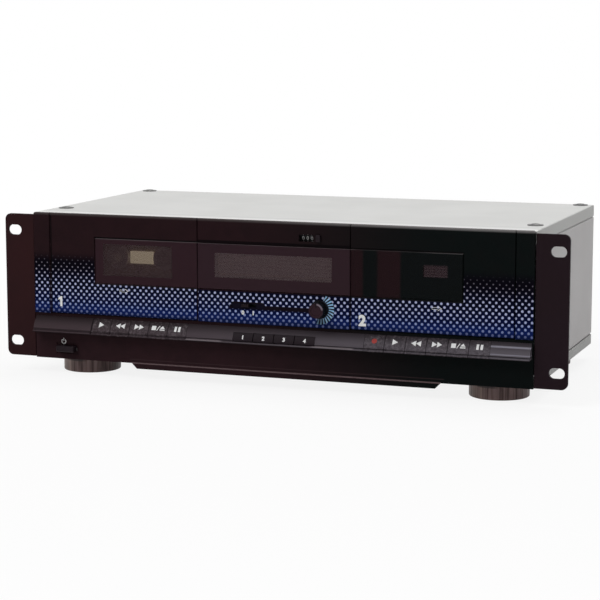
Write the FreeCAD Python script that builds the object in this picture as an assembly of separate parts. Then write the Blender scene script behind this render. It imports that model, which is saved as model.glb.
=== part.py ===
import FreeCAD, Part
import math
import os

# Double cassette deck with rack ears, millimetres.
# While modelling, X runs to the right, Y to the back and Z up. Y is 0 on the front face of the
# rack ears, and Z is 0 on their lower edge. Each finished piece is moved so that the origin lies
# on the standing surface, under the middle of the whole object.

# Rack ears
RACK_WIDTH = 482.6
EAR_THICKNESS = 2.5
EAR_REACH = 26.3
EAR_CORNER = 5.0
EAR_FLANGE_DEPTH = 22.0
EAR_FLANGE_INSET = 10.0
EAR_SCREW_INSET = 14.0
SLOT_INSET = 8.75
SLOT_FROM_BOTTOM = 12.7
SLOT_FROM_TOP = 13.6
SLOT_LENGTH = 12.5
SLOT_WIDTH = 8.5

# Sheet metal case
CASE_REAR = 222.0
COVER_FRONT = 2.2
COVER_RISE = 1.8
COVER_DROP = 9.6
COVER_BEND = 1.2
SHEET = 1.0
TRAY_FLANGE = 8.2
SEAM = 0.5
JOGGLE = 1.1
FOLD_GAP = 0.2
SCREW_INSET_X = 10.4
SCREW_INSET_Y = 38.8
SCREW_INSET_REAR = 7.5

# Washer-head case screws
SCREW_HEAD_R = 6.4
SCREW_HEAD_HEIGHT = 1.2
SCREW_SHANK_R = 1.9
SCREW_SHANK_LENGTH = 7.0
SCREW_HOLE_CLEARANCE = 0.25

# Feet
FOOT_HEIGHT = 14.0
FOOT_R = 24.2
FOOT_INSET_X = 36.0
FOOT_FRONT_Y = 35.0
FOOT_INSET_REAR = 32.0
FOOT_EDGE = 1.0
FOOT_GROOVE = 1.0

# Front moulding
FACE_Y = -1.5
LOWER_FACE_Y = 0.0
WALL = 3.0
PANEL_MARGIN = 0.7
PANEL_RISE = 0.3
LOWER_TOP = 37.6
RAIL_HEIGHT = 4.8
RAIL_GAP = 0.3
RAIL_FRONT = 4.2
RAIL_BACK = 8.2
WELL_DEPTH = 17.6
WELL_WALL = 2.0
SHELF = 2.0
PANEL_LIP = 0.8
APRON_LEFT = 126.2
APRON_RIGHT = 141.0
APRON_DROP = 5.2
APRON_PROUD = 0.9
FACE_BEVEL = 0.5
PANEL_CORNER = 1.6

# Doors
DOOR_WIDTH = 134.2
END_STRIP = 14.7
DOOR_GAP = 0.5
DOOR_FOOT_GAP = 0.6
DOOR_HINGE_Y = 0.3
DOOR_HINGE_RISE = 3.0
HINGE_PIN_R = 1.0
HINGE_PIN_LENGTH = 3.0
PIN_CLEARANCE = 0.06
LENS_BOTTOM = 64.7
LENS_HEIGHT = 38.1
LENS_MARGIN = 42.0
TOP_STRIP = 19.8
LENS_GAP = 0.5
LENS_REST = 2.5
HOLDER_WALL = 1.5

# Compact cassette that the holders take
CASSETTE_WIDTH = 100.4
CASSETTE_HEIGHT = 63.8
CASSETTE_THICKNESS = 12.0
CASSETTE_BOTTOM = 50.2
POCKET_CLEARANCE = 0.5
HOLDER_LIP = 4.0
HOLDER_SIDE_DROP = 8.0
HOLDER_LEDGE = 16.5

# Mechanism, measured from the middle of each cassette
MECHANISM_OFFSET = 5.0
HUB_Z = 84.5
HUB_HALF_SPACING = 21.25
CAPSTAN_X = 21.5
CAPSTAN_Z = 56.5
WELL_PANEL = 2.0
WELL_WINDOW_HALF = 31.9
WELL_WINDOW_BOTTOM = 66.6
WELL_WINDOW_TOP = 95.8
HEAD_SLOT_LEFT = 27.0
HEAD_SLOT_RIGHT = 31.0
HEAD_SLOT_BOTTOM = 38.9
HEAD_SLOT_TOP = 60.0
CHASSIS_Y = 28.0
CHASSIS_SHEET = 1.5
CHASSIS_LEFT = 52.0
CHASSIS_RIGHT = 57.0
CHASSIS_BOTTOM = 42.0
CHASSIS_TOP = 112.0
POST_R = 3.0
POST_SIDE = 44.0
POST_TOP = 106.0
POST_LOW = 66.0
REFLECTOR_HALF = 10.2
REFLECTOR_HEIGHT = 10.2
REFLECTOR_FRONT = 25.0

# Reels
HUB_TIP_Y = 8.4
HUB_SHAFT_R = 3.7
HUB_FIN_R = 4.7
HUB_FIN_WIDTH = 1.1
HUB_FINS = 6
HUB_DISC_R = 9.8
HUB_DISC_FRONT = 23.6
HUB_DISC_THICKNESS = 2.6
HUB_PIN_R = 1.0
RUNNING = 0.06
SEAT_GAP = 0.3

# Flywheel, motor and belt
CAPSTAN_R = 1.0
CAPSTAN_TIP_Y = 8.4
BEARING_R = 3.5
BEARING_FRONT = 23.0
FLYWHEEL_R = 23.0
FLYWHEEL_FRONT = 33.4
FLYWHEEL_THICKNESS = 7.5
BRIDGE_Y = 46.0
MOTOR_X = -28.0
MOTOR_Z = 66.0
MOTOR_R = 16.0
MOTOR_FRONT = 45.0
MOTOR_LENGTH = 24.0
MOTOR_BOSS_R = 5.0
MOTOR_BOSS = 1.5
SPINDLE_R = 1.0
SPINDLE_DEPTH = 8.0
PULLEY_WIDTH = 5.6
PULLEY_R = 4.5
BELT = 1.4

# Head plate and pinch roller
HEAD_TRAVEL = 5.0
HEAD_PLATE_Y = 21.2
HEAD_PLATE_SHEET = 1.2
HEAD_PLATE_LEFT = 31.0
HEAD_PLATE_RIGHT = 35.0
HEAD_PLATE_BOTTOM = 36.4
HEAD_PLATE_TOP = 51.5
HEAD_PLATE_STEP = 48.5
HEAD_WIDTH = 12.4
HEAD_DEPTH = 8.6
HEAD_TOP = 48.2
TAPE_MIDDLE_Y = 9.3
ROLLER_R = 6.0
ROLLER_WIDTH = 7.4
ROLLER_PIN_R = 1.2
SLIDE_POST_R = 1.5
SLIDE_POST_X = 25.5
SLIDE_POST_Z = 46.5

# Key ledge and keys
LEDGE_TOP = 35.2
LEDGE_BOTTOM = 22.4
LEDGE_REACH = 9.0
LEDGE_END = 1.3
SLOPE_REACH = 7.6
SLOPE_BOTTOM = 24.6
SLOPE_MIDDLE_Y = -4.6
SLOPE_MIDDLE_Z = 31.0
LEDGE_SHELL = 2.2
BEAD_HEIGHT = 1.1
BEAD_GROOVE = 0.6
KEY_PITCH = 17.15
KEY_GAP = 0.5
KEY_BANK_OFFSET = 10.95
KEY_BACK_GAP = 0.4
KEY_STEM_WIDTH = 9.0
KEY_STEM_BOTTOM = 25.6
KEY_STEM_TOP = 32.4
KEY_SLOT_CLEARANCE = 0.5
KEY_LEVER_WIDTH = 4.0
KEY_PIVOT_Y = 36.0
KEY_PIVOT_Z = 20.0
KEY_ROD_R = 2.0
KEY_BOSS_R = 5.0
KEY_ANGLE = 6.5

# Push buttons in the ledge
BUTTON_PITCH = 17.7
BUTTON_WIDTH = 17.0
BUTTON_MIDDLE = 2.4
BUTTON_BOTTOM = 24.0
BUTTON_TOP = 30.9
BUTTON_GAP = 0.25
BUTTON_COUNT = 4
BUTTON_STEM_Z = 27.2
BUTTON_TRAVEL = 1.5
BUTTON_SWITCH_Y = 8.5

# Power button under the ledge's left end, with its switch housing
POWER_INSET = 29.3
POWER_RISE = 0.1
POWER_WIDTH = 16.0
POWER_HEIGHT = 4.8
POWER_PROUD = 6.0
POWER_TRAVEL = 2.5
POWER_BORDER = 2.2
POWER_RECESS = 0.8
POWER_STEM_WIDTH = 8.0
POWER_HOUSING_WALL = 3.2
POWER_CHANNEL = 11.0
POWER_SWITCH = 8.0

# Level knob
KNOB_INSET = 25.4
KNOB_Z = 53.0
KNOB_R = 6.6
KNOB_TAPER = 0.6
KNOB_FLANGE_R = 7.3
KNOB_FLANGE = 2.2
KNOB_FRONT = -11.0
KNOB_FLUTE_COUNT = 18
KNOB_FLUTE_R = 0.6
KNOB_DISH_R = 4.6
KNOB_SHAFT_R = 3.0
KNOB_HOLE_CLEARANCE = 0.5

# Slide switch
SWITCH_INSET = 44.0
SWITCH_Z = 52.9
SWITCH_RECESS_LENGTH = 30.0
SWITCH_RECESS_HEIGHT = 5.8
SWITCH_RECESS_DEPTH = 1.0
SWITCH_SLOT_LENGTH = 13.0
SWITCH_SLOT_HEIGHT = 2.8
SWITCH_TRAVEL = 5.0
SWITCH_CAP_LENGTH = 6.0
SWITCH_CAP_PROUD = 1.0
SWITCH_CLEARANCE = 0.2
SWITCH_BODY_Y = 7.5

# Tape counter
COUNTER_INSET = 37.0
COUNTER_RISE = 7.0
COUNTER_WINDOW_WIDTH = 12.4
COUNTER_WINDOW_HEIGHT = 5.4
COUNTER_WHEEL_R = 6.0
COUNTER_WHEEL_WIDTH = 3.7
COUNTER_WHEEL_PITCH = 4.0
COUNTER_AXIS_Y = 9.6
COUNTER_CHEEK = 1.2
RESET_OFFSET = 10.6
RESET_WIDTH = 3.6
RESET_HEIGHT = 5.4
RESET_PROUD = 2.0
RESET_TRAVEL = 1.6

# Meter and front board
METER_MARGIN = 15.6
METER_RISE = 11.7
METER_HEIGHT = 18.5
METER_LENS = 2.0
BOARD_Y = 13.0
BOARD_THICKNESS = 1.6
BOARD_MARGIN = 4.4
BOARD_BOTTOM = 22.0
BOARD_OVER_METER = 8.1
DISPLAY_FRONT = 5.0
DISPLAY_MARGIN = 1.5

# Rear connections
JACK_R = 4.15
JACK_LENGTH = 8.0
JACK_BORE_R = 1.7
JACK_SPACING = 14.0
JACK_INSET_X = 65.0
JACK_Z = 62.0
JACK_PLATE = 1.5
JACK_PLATE_WIDTH = 18.0
JACK_INSIDE = 9.0
JACK_BORE_INSIDE = 6.0
GLAND_INSET_X = 43.0
GLAND_Z = 34.0
GLAND_BORE_R = 3.3
GLAND_R = 7.0
GLAND_OUT = 7.0
GLAND_IN = 8.0
REAR_EDGE = 10.0

# Main board and transformer
BOARD_SPACER = 8.0
SPACER_R = 3.0
SPACER_INSET = 6.0
MAIN_BOARD_WIDTH = 240.0
MAIN_BOARD_DEPTH = 95.0
MAIN_BOARD_INSET_X = 35.0
MAIN_BOARD_INSET_Y = 17.0
TRANSFORMER_WIDTH = 57.0
TRANSFORMER_CORE = 19.0
TRANSFORMER_HEIGHT = 48.0
COIL_INSET = 9.0
COIL_PROUD = 8.0
TRANSFORMER_INSET_X = 8.0
TRANSFORMER_INSET_Y = 38.0
CAPACITOR_R = 7.0
CAPACITOR_HEIGHT = 18.0
CAPACITOR_PITCH = 19.0
CAPACITOR_COUNT = 5
CAPACITOR_INSET_X = 90.0
CAPACITOR_INSET_Y = 22.0
COOLER_THICKNESS = 3.0
COOLER_HEIGHT = 30.0
COOLER_LENGTH = 55.0
COOLER_INSET_X = 40.0
CHIP_WIDTH = 20.0
CHIP_DEPTH = 8.0
CHIP_HEIGHT = 4.0
CHIP_PITCH = 30.0
CHIP_COUNT = 3
CHIP_INSET_Y = 54.0

# Air slots in the tray
AIR_SLOT_WIDTH = 4.0
AIR_SLOT_LENGTH = 30.0
AIR_SLOT_PITCH = 14.0
AIR_SLOT_COUNT = 8
AIR_SLOT_INSET = 82.0

# Sizes that follow
RACK_HALF = RACK_WIDTH / 2
CASE_HALF = RACK_HALF - EAR_REACH
LENS_TOP = LENS_BOTTOM + LENS_HEIGHT
PANEL_TOP = LENS_TOP + TOP_STRIP
COVER_TOP = PANEL_TOP - PANEL_RISE
EAR_HEIGHT = COVER_TOP - COVER_RISE
RAIL_TOP = COVER_TOP - 2 * SHEET - RAIL_GAP
RAIL_BOTTOM = RAIL_TOP - RAIL_HEIGHT
PANEL_HALF = CASE_HALF - PANEL_MARGIN
LEDGE_HALF = PANEL_HALF - LEDGE_END
DOOR_OUTER = PANEL_HALF - END_STRIP
DOOR_INNER = DOOR_OUTER - DOOR_WIDTH
KNOB_X = DOOR_INNER - KNOB_INSET
SWITCH_X = SWITCH_INSET - DOOR_INNER
POWER_X = POWER_INSET - PANEL_HALF
POWER_Z = TRAY_FLANGE + POWER_RISE
POWER_STEM_TOP = POWER_Z + POWER_HEIGHT / 2 - SEAT_GAP
COUNTER_X = DOOR_INNER - COUNTER_INSET
COUNTER_Z = LENS_TOP + COUNTER_RISE
RESET_X = COUNTER_X + RESET_OFFSET
METER_HALF = DOOR_INNER - METER_MARGIN
METER_BOTTOM = LENS_BOTTOM + METER_RISE
METER_TOP = METER_BOTTOM + METER_HEIGHT
BOARD_HALF = DOOR_INNER - BOARD_MARGIN
BOARD_TOP = METER_TOP + BOARD_OVER_METER
DOOR_BOTTOM = LOWER_TOP + DOOR_FOOT_GAP
DOOR_HINGE_Z = LOWER_TOP + DOOR_HINGE_RISE
HOLDER_SIDE_TOP = CASSETTE_BOTTOM + CASSETTE_HEIGHT - HOLDER_SIDE_DROP
LENS_OUTER = DOOR_OUTER - LENS_MARGIN
MECHANISM_X = (DOOR_INNER + DOOR_OUTER) / 2 - MECHANISM_OFFSET
FOOT_X = CASE_HALF - FOOT_INSET_X
FOOT_REAR_Y = CASE_REAR - FOOT_INSET_REAR
SLOT_SPACING_X = RACK_WIDTH - 2 * SLOT_INSET
SLOT_SPACING_Z = EAR_HEIGHT - SLOT_FROM_BOTTOM - SLOT_FROM_TOP
SLOT_MIDDLE_Z = SLOT_FROM_BOTTOM + SLOT_SPACING_Z / 2
JACK_X = CASE_HALF - JACK_INSET_X
GLAND_X = GLAND_INSET_X - CASE_HALF
MAIN_BOARD_Z = SHEET + BOARD_SPACER
MAIN_BOARD_X1 = CASE_HALF - MAIN_BOARD_INSET_X
MAIN_BOARD_X0 = MAIN_BOARD_X1 - MAIN_BOARD_WIDTH
MAIN_BOARD_Y1 = CASE_REAR - MAIN_BOARD_INSET_Y
MAIN_BOARD_Y0 = MAIN_BOARD_Y1 - MAIN_BOARD_DEPTH
JACK_REACH = CASE_REAR + JACK_PLATE + JACK_LENGTH
MIDDLE_Y = (KNOB_FRONT + JACK_REACH) / 2
PLACE = FreeCAD.Vector(0, -MIDDLE_Y, FOOT_HEIGHT)
DECKS = {"a": -1, "b": 1}


def box(x0, x1, y0, y1, z0, z1):
    return Part.makeBox(x1 - x0, y1 - y0, z1 - z0, FreeCAD.Vector(x0, y0, z0))


def rod_y(x, z, r, y0, y1):
    return Part.makeCylinder(r, y1 - y0, FreeCAD.Vector(x, y0, z), FreeCAD.Vector(0, 1, 0))


def rod_x(y, z, r, x0, x1):
    return Part.makeCylinder(r, x1 - x0, FreeCAD.Vector(x0, y, z), FreeCAD.Vector(1, 0, 0))


def rod_z(x, y, r, z0, z1):
    return Part.makeCylinder(r, z1 - z0, FreeCAD.Vector(x, y, z0))


def joined(shapes):
    return shapes[0].fuse(shapes[1:]).removeSplitter() if len(shapes) > 1 else shapes[0]


def plate_x(points, x0, x1):
    """A plate with its outline given as (y, z) points."""
    corners = [FreeCAD.Vector(x0, y, z) for y, z in points]
    face = Part.Face(Part.makePolygon(corners + corners[:1]))
    return face.extrude(FreeCAD.Vector(x1 - x0, 0, 0))


def plate_y(points, y0, y1):
    """A plate with its outline given as (x, z) points."""
    corners = [FreeCAD.Vector(x, y0, z) for x, z in points]
    face = Part.Face(Part.makePolygon(corners + corners[:1]))
    return face.extrude(FreeCAD.Vector(0, y1 - y0, 0))


def slot_y(x, z, length, height, y0, y1):
    """An obround bar along Y, its long side level."""
    r = height / 2
    reach = length / 2 - r
    middle = box(x - reach, x + reach, y0, y1, z - r, z + r)
    return joined([middle, rod_y(x - reach, z, r, y0, y1), rod_y(x + reach, z, r, y0, y1)])


def bevel_face(shape, y, size):
    """Bevel every edge that lies in the plane at y."""
    edges = [e for e in shape.Edges if all(abs(v.Point.y - y) < 1e-6 for v in e.Vertexes)]
    return shape.makeChamfer(size, edges)


def finish(name, pieces):
    """Move the pieces of one node to the standing frame and write them."""
    moved = [piece.translated(PLACE) for piece in pieces]
    shape = moved[0] if len(moved) == 1 else Part.makeCompound(moved)
    shape.exportStep("parts/" + name + ".step")


def door_span(side):
    """Lowest and highest x of a door."""
    inner = side * (DOOR_INNER + DOOR_GAP)
    outer = side * (DOOR_OUTER - DOOR_GAP)
    return min(inner, outer), max(inner, outer)


def lens_span(side):
    """Lowest and highest x of a door window."""
    inner = side * (DOOR_INNER + DOOR_GAP)
    outer = side * LENS_OUTER
    return min(inner, outer), max(inner, outer)


def key_x(side, place):
    """Middle of a key, place 0 being the record key."""
    return side * MECHANISM_X + KEY_BANK_OFFSET + (place - 3) * KEY_PITCH


def ledge_bar(x0, x1, back):
    """A bar with the ledge's rounded slope, its groove and its bead."""
    bead_top = LEDGE_BOTTOM + BEAD_HEIGHT
    top = FreeCAD.Vector(x0, back, LEDGE_TOP)
    brow = FreeCAD.Vector(x0, -KEY_BACK_GAP, LEDGE_TOP)
    middle = FreeCAD.Vector(x0, SLOPE_MIDDLE_Y, SLOPE_MIDDLE_Z)
    foot = FreeCAD.Vector(x0, -SLOPE_REACH, SLOPE_BOTTOM)
    groove = FreeCAD.Vector(x0, BEAD_GROOVE - SLOPE_REACH, SLOPE_BOTTOM - BEAD_GROOVE)
    bead = FreeCAD.Vector(x0, 0.2 - LEDGE_REACH, bead_top)
    toe = FreeCAD.Vector(x0, -LEDGE_REACH, LEDGE_BOTTOM)
    heel = FreeCAD.Vector(x0, back, LEDGE_BOTTOM)
    edges = [Part.Arc(brow, middle, foot).toShape()]
    path = [foot, groove, bead, toe, heel, top]
    if abs(back + KEY_BACK_GAP) > 1e-6:
        path.append(brow)
    for start, end in zip(path[:-1], path[1:]):
        edges.append(Part.makeLine(start, end))
    face = Part.Face(Part.Wire(edges))
    return face.extrude(FreeCAD.Vector(x1 - x0, 0, 0))


def front_panel():
    """Face plates, ledge, key slots, door openings, well walls and apron in one moulding."""
    lower = box(-PANEL_HALF, PANEL_HALF, LOWER_FACE_Y, LOWER_FACE_Y + WALL, -PANEL_LIP, LOWER_TOP)
    face_back = FACE_Y + WALL
    centre = bevel_face(box(-DOOR_INNER, DOOR_INNER, FACE_Y, face_back, LOWER_TOP, PANEL_TOP),
                        FACE_Y, FACE_BEVEL)
    lens_bed = box(-DOOR_INNER, DOOR_INNER, FACE_Y, FACE_Y + METER_LENS, LENS_BOTTOM, LENS_TOP)
    bed_back = box(-DOOR_INNER, DOOR_INNER, face_back, face_back + SHELF,
                   LENS_BOTTOM - SHELF, LENS_TOP + SHELF)
    pieces = [lower, centre, bed_back]
    for side in DECKS.values():
        x0, x1 = sorted((side * DOOR_OUTER, side * PANEL_HALF))
        strip = box(x0, x1, FACE_Y, face_back, LOWER_TOP, PANEL_TOP)
        corner = [e for e in strip.Edges
                  if all(abs(v.Point.x - side * PANEL_HALF) < 1e-6 and abs(v.Point.z - PANEL_TOP) < 1e-6
                         for v in e.Vertexes)]
        pieces.append(bevel_face(strip.makeFillet(PANEL_CORNER, corner), FACE_Y, FACE_BEVEL))
        outer_wall = sorted((side * DOOR_OUTER, side * (DOOR_OUTER + WELL_WALL)))
        inner_wall = sorted((side * DOOR_INNER, side * (DOOR_INNER - WELL_WALL)))
        for x0, x1 in (outer_wall, inner_wall):
            pieces.append(box(x0, x1, 0, WELL_DEPTH, LOWER_TOP - SHELF, RAIL_TOP))
        x0, x1 = sorted((side * DOOR_INNER, side * DOOR_OUTER))
        pieces.append(box(x0, x1, 0, WELL_DEPTH, LOWER_TOP - SHELF, LOWER_TOP))
        pieces.append(box(x0, x1, RAIL_FRONT, RAIL_BACK, RAIL_BOTTOM, RAIL_TOP))
    pieces += ledge_pieces()
    pieces.append(apron())
    pieces.append(power_housing())
    panel = joined(pieces)
    panel = panel.cut([lens_bed] + panel_openings())
    return panel


def ledge_pieces():
    """The fixed stretches of the ledge, hollow from behind."""
    left_end = key_x(-1, 1) - (KEY_PITCH + KEY_GAP) / 2
    middle_start = key_x(-1, 5) + KEY_PITCH / 2
    middle_end = key_x(1, 0) - KEY_PITCH / 2
    right_start = key_x(1, 5) + KEY_PITCH / 2
    spans = [(-LEDGE_HALF, left_end), (middle_start, middle_end), (right_start, LEDGE_HALF)]
    pieces = []
    for x0, x1 in spans:
        bar = ledge_bar(x0, x1, LOWER_FACE_Y)
        hollow = plate_x([(0, LEDGE_BOTTOM + LEDGE_SHELL),
                          (LEDGE_SHELL - SLOPE_REACH, LEDGE_BOTTOM + LEDGE_SHELL),
                          (SLOPE_MIDDLE_Y + LEDGE_SHELL, SLOPE_MIDDLE_Z - 1),
                          (0, LEDGE_TOP - LEDGE_SHELL)],
                         x0 + LEDGE_SHELL, x1 - LEDGE_SHELL)
        pieces.append(bar.cut(hollow))
    return pieces


def apron():
    """Lip under the lower face, a little proud of it, with a bevelled top and its ends cut back."""
    front = LOWER_FACE_Y - APRON_PROUD
    back = LOWER_FACE_Y + WALL
    outline = [(-APRON_LEFT, 0), (APRON_RIGHT, 0), (APRON_RIGHT - APRON_DROP, -APRON_DROP),
               (APRON_DROP - APRON_LEFT, -APRON_DROP)]
    profile = [(LOWER_FACE_Y, 0), (front, -APRON_PROUD), (front, -APRON_DROP), (back, -APRON_DROP),
               (back, 0)]
    return plate_y(outline, front, back).common(plate_x(profile, -APRON_LEFT, APRON_RIGHT))


def power_housing():
    """Block behind the panel whose channel guides the power button's stem to its switch."""
    back = LOWER_FACE_Y + WALL
    half = POWER_STEM_WIDTH / 2 + BUTTON_GAP
    top = POWER_STEM_TOP + BUTTON_GAP
    channel = box(POWER_X - half, POWER_X + half, back, back + POWER_CHANNEL, TRAY_FLANGE, top)
    half += POWER_HOUSING_WALL
    block = box(POWER_X - half, POWER_X + half, back, back + POWER_CHANNEL + POWER_SWITCH,
                TRAY_FLANGE + SEAT_GAP, top + POWER_HOUSING_WALL)
    return block.cut(channel)


def panel_openings():
    """Everything that goes through the front panel."""
    cuts = []
    bed = FACE_Y + METER_LENS
    back = FACE_Y + WALL + SHELF
    cuts.append(box(-METER_HALF, METER_HALF, bed, back, METER_BOTTOM, METER_TOP))
    places = [(-1, n) for n in range(1, 6)] + [(1, n) for n in range(6)]
    sweep = KEY_PIVOT_Y * math.tan(math.radians(KEY_ANGLE))
    half = KEY_STEM_WIDTH / 2 + KEY_SLOT_CLEARANCE
    for x in [key_x(side, n) for side, n in places]:
        cuts.append(box(x - half, x + half, LOWER_FACE_Y, LOWER_FACE_Y + WALL,
                        KEY_STEM_BOTTOM - sweep - KEY_SLOT_CLEARANCE, KEY_STEM_TOP + KEY_SLOT_CLEARANCE))
    for border, depth in ((POWER_BORDER, POWER_RECESS), (BUTTON_GAP, WALL)):
        half_w = POWER_WIDTH / 2 + border
        half_h = POWER_HEIGHT / 2 + border
        cuts.append(box(POWER_X - half_w, POWER_X + half_w, LOWER_FACE_Y, LOWER_FACE_Y + depth,
                        POWER_Z - half_h, POWER_Z + half_h))
    first = BUTTON_MIDDLE - (BUTTON_COUNT - 1) / 2 * BUTTON_PITCH - BUTTON_WIDTH / 2
    last = first + (BUTTON_COUNT - 1) * BUTTON_PITCH + BUTTON_WIDTH
    cuts.append(box(first - BUTTON_GAP, last + BUTTON_GAP, -LEDGE_REACH, LOWER_FACE_Y + WALL,
                    BUTTON_BOTTOM - BUTTON_GAP, BUTTON_TOP + BUTTON_GAP))
    cuts.append(slot_y(SWITCH_X, SWITCH_Z, SWITCH_RECESS_LENGTH, SWITCH_RECESS_HEIGHT,
                       FACE_Y, FACE_Y + SWITCH_RECESS_DEPTH))
    cuts.append(box(SWITCH_X - SWITCH_SLOT_LENGTH / 2, SWITCH_X + SWITCH_SLOT_LENGTH / 2,
                    FACE_Y, FACE_Y + WALL,
                    SWITCH_Z - SWITCH_SLOT_HEIGHT / 2, SWITCH_Z + SWITCH_SLOT_HEIGHT / 2))
    cuts.append(rod_y(KNOB_X, KNOB_Z, KNOB_SHAFT_R + KNOB_HOLE_CLEARANCE, FACE_Y, FACE_Y + WALL))
    half_w = COUNTER_WINDOW_WIDTH / 2
    half_h = COUNTER_WINDOW_HEIGHT / 2
    cuts.append(box(COUNTER_X - half_w, COUNTER_X + half_w, FACE_Y, FACE_Y + WALL,
                    COUNTER_Z - half_h, COUNTER_Z + half_h))
    half_w = RESET_WIDTH / 2 + BUTTON_GAP
    half_h = RESET_HEIGHT / 2 + BUTTON_GAP
    cuts.append(box(RESET_X - half_w, RESET_X + half_w, FACE_Y, FACE_Y + WALL,
                    COUNTER_Z - half_h, COUNTER_Z + half_h))
    for side in DECKS.values():
        for x in (side * DOOR_INNER, side * DOOR_OUTER):
            cuts.append(rod_x(DOOR_HINGE_Y, DOOR_HINGE_Z, HINGE_PIN_R + PIN_CLEARANCE,
                              x - HINGE_PIN_LENGTH - SEAT_GAP, x + HINGE_PIN_LENGTH + SEAT_GAP))
    return cuts


def meter_window():
    gap = LENS_GAP / 2
    lens = box(-DOOR_INNER, DOOR_INNER, FACE_Y, FACE_Y + METER_LENS, LENS_BOTTOM + gap, LENS_TOP - gap)
    return bevel_face(lens, FACE_Y, FACE_BEVEL)


def rack_ear(side):
    """Bent plate: the ear with its slots and the flange on the case side."""
    inner = side * CASE_HALF
    outer = side * RACK_HALF
    x0, x1 = sorted((inner, outer))
    face = box(x0, x1, 0, EAR_THICKNESS, 0, EAR_HEIGHT)
    corners = [e for e in face.Edges
               if abs(e.Vertexes[0].Point.x - outer) < 1e-6 and abs(e.Vertexes[1].Point.x - outer) < 1e-6
               and abs(e.Vertexes[0].Point.z - e.Vertexes[1].Point.z) < 1e-6]
    face = face.makeFillet(EAR_CORNER, corners)
    x0, x1 = sorted((inner, inner + side * EAR_THICKNESS))
    flange = box(x0, x1, 0, EAR_FLANGE_DEPTH, EAR_FLANGE_INSET, EAR_HEIGHT - EAR_FLANGE_INSET)
    ear = joined([face, flange])
    bend = [e for e in ear.Edges
            if all(abs(v.Point.x - inner - side * EAR_THICKNESS) < 1e-6
                   and abs(v.Point.y - EAR_THICKNESS) < 1e-6 for v in e.Vertexes)]
    ear = ear.makeFillet(EAR_THICKNESS, bend)
    cuts = []
    for row in (-1, 1):
        z = SLOT_MIDDLE_Z + row * SLOT_SPACING_Z / 2
        cuts.append(slot_y(side * SLOT_SPACING_X / 2, z, SLOT_LENGTH, SLOT_WIDTH, 0, EAR_THICKNESS))
    for y, z in ear_screw_places():
        x0, x1 = sorted((inner, inner + side * EAR_THICKNESS))
        cuts.append(rod_x(y, z, SCREW_SHANK_R + SCREW_HOLE_CLEARANCE, x0, x1))
    return ear.cut(cuts)


def ear_screw_places():
    y = (EAR_THICKNESS + EAR_FLANGE_DEPTH) / 2 + 1
    low = EAR_FLANGE_INSET + EAR_SCREW_INSET
    high = EAR_HEIGHT - EAR_FLANGE_INSET - EAR_SCREW_INSET
    return [(y, low), (y, high)]


def cover_screw_places():
    x = CASE_HALF - SCREW_INSET_X
    return [(side * x, y) for side in (-1, 1)
            for y in (COVER_FRONT + SCREW_INSET_Y, CASE_REAR - SCREW_INSET_REAR)]


def foot_places():
    return [(side * FOOT_X, y) for side in (-1, 1) for y in (FOOT_FRONT_Y, FOOT_REAR_Y)]


def screw():
    """Washer-head screw, its head seat at the origin and its shank pointing down."""
    r = SCREW_HEAD_R
    h = SCREW_HEAD_HEIGHT
    rim = 0.6
    points = [FreeCAD.Vector(0, 0, -SCREW_SHANK_LENGTH),
              FreeCAD.Vector(SCREW_SHANK_R, 0, -SCREW_SHANK_LENGTH),
              FreeCAD.Vector(SCREW_SHANK_R, 0, 0),
              FreeCAD.Vector(r, 0, 0),
              FreeCAD.Vector(r, 0, rim),
              FreeCAD.Vector(0.62 * r, 0, rim),
              FreeCAD.Vector(0.5 * r, 0, h),
              FreeCAD.Vector(0, 0, h)]
    face = Part.Face(Part.makePolygon(points + points[:1]))
    body = face.revolve(FreeCAD.Vector(0, 0, 0), FreeCAD.Vector(0, 0, 1), 360)
    bar = 0.9
    reach = 0.36 * r
    depth = h - rim
    cross = [box(-reach, reach, -bar / 2, bar / 2, h - depth, h + 1),
             box(-bar / 2, bar / 2, -reach, reach, h - depth, h + 1)]
    return body.cut(cross)


def case_screws():
    """Cover, ear and foot screws."""
    one = screw()
    placed = []
    for x, y in cover_screw_places():
        placed.append(one.translated(FreeCAD.Vector(x, y, COVER_TOP)))
    for side in (-1, 1):
        turned = one.copy()
        turned.rotate(FreeCAD.Vector(0, 0, 0), FreeCAD.Vector(0, 1, 0), side * 90)
        for y, z in ear_screw_places():
            placed.append(turned.translated(FreeCAD.Vector(side * (CASE_HALF + EAR_THICKNESS), y, z)))
    turned = one.copy()
    turned.rotate(FreeCAD.Vector(0, 0, 0), FreeCAD.Vector(1, 0, 0), 180)
    for x, y in foot_places():
        placed.append(turned.translated(FreeCAD.Vector(x, y, -foot_floor())))
    return placed


def foot_floor():
    """Thickness of the foot over its screw head."""
    return SCREW_SHANK_LENGTH - 3.0


def top_cover():
    """Sheet with a folded flange along each side and a rounded front edge."""
    outer = box(-CASE_HALF, CASE_HALF, COVER_FRONT, CASE_REAR, COVER_TOP - COVER_DROP, COVER_TOP)
    bends = [e for e in outer.Edges
             if all(abs(v.Point.z - COVER_TOP) < 1e-6 and abs(abs(v.Point.x) - CASE_HALF) < 1e-6
                    for v in e.Vertexes)]
    front = [e for e in outer.Edges
             if all(abs(v.Point.z - COVER_TOP) < 1e-6 and abs(v.Point.y - COVER_FRONT) < 1e-6
                    for v in e.Vertexes)]
    outer = outer.makeFillet(COVER_BEND, bends + front)
    hollow = box(SHEET - CASE_HALF, CASE_HALF - SHEET, COVER_FRONT - 1, CASE_REAR + 1,
                 COVER_TOP - COVER_DROP - 1, COVER_TOP - SHEET)
    cover = outer.cut(hollow)
    r = SCREW_SHANK_R + SCREW_HOLE_CLEARANCE
    holes = [rod_z(x, y, r, COVER_TOP - 2 * SHEET, COVER_TOP + 1) for x, y in cover_screw_places()]
    return cover.cut(holes)


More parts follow.
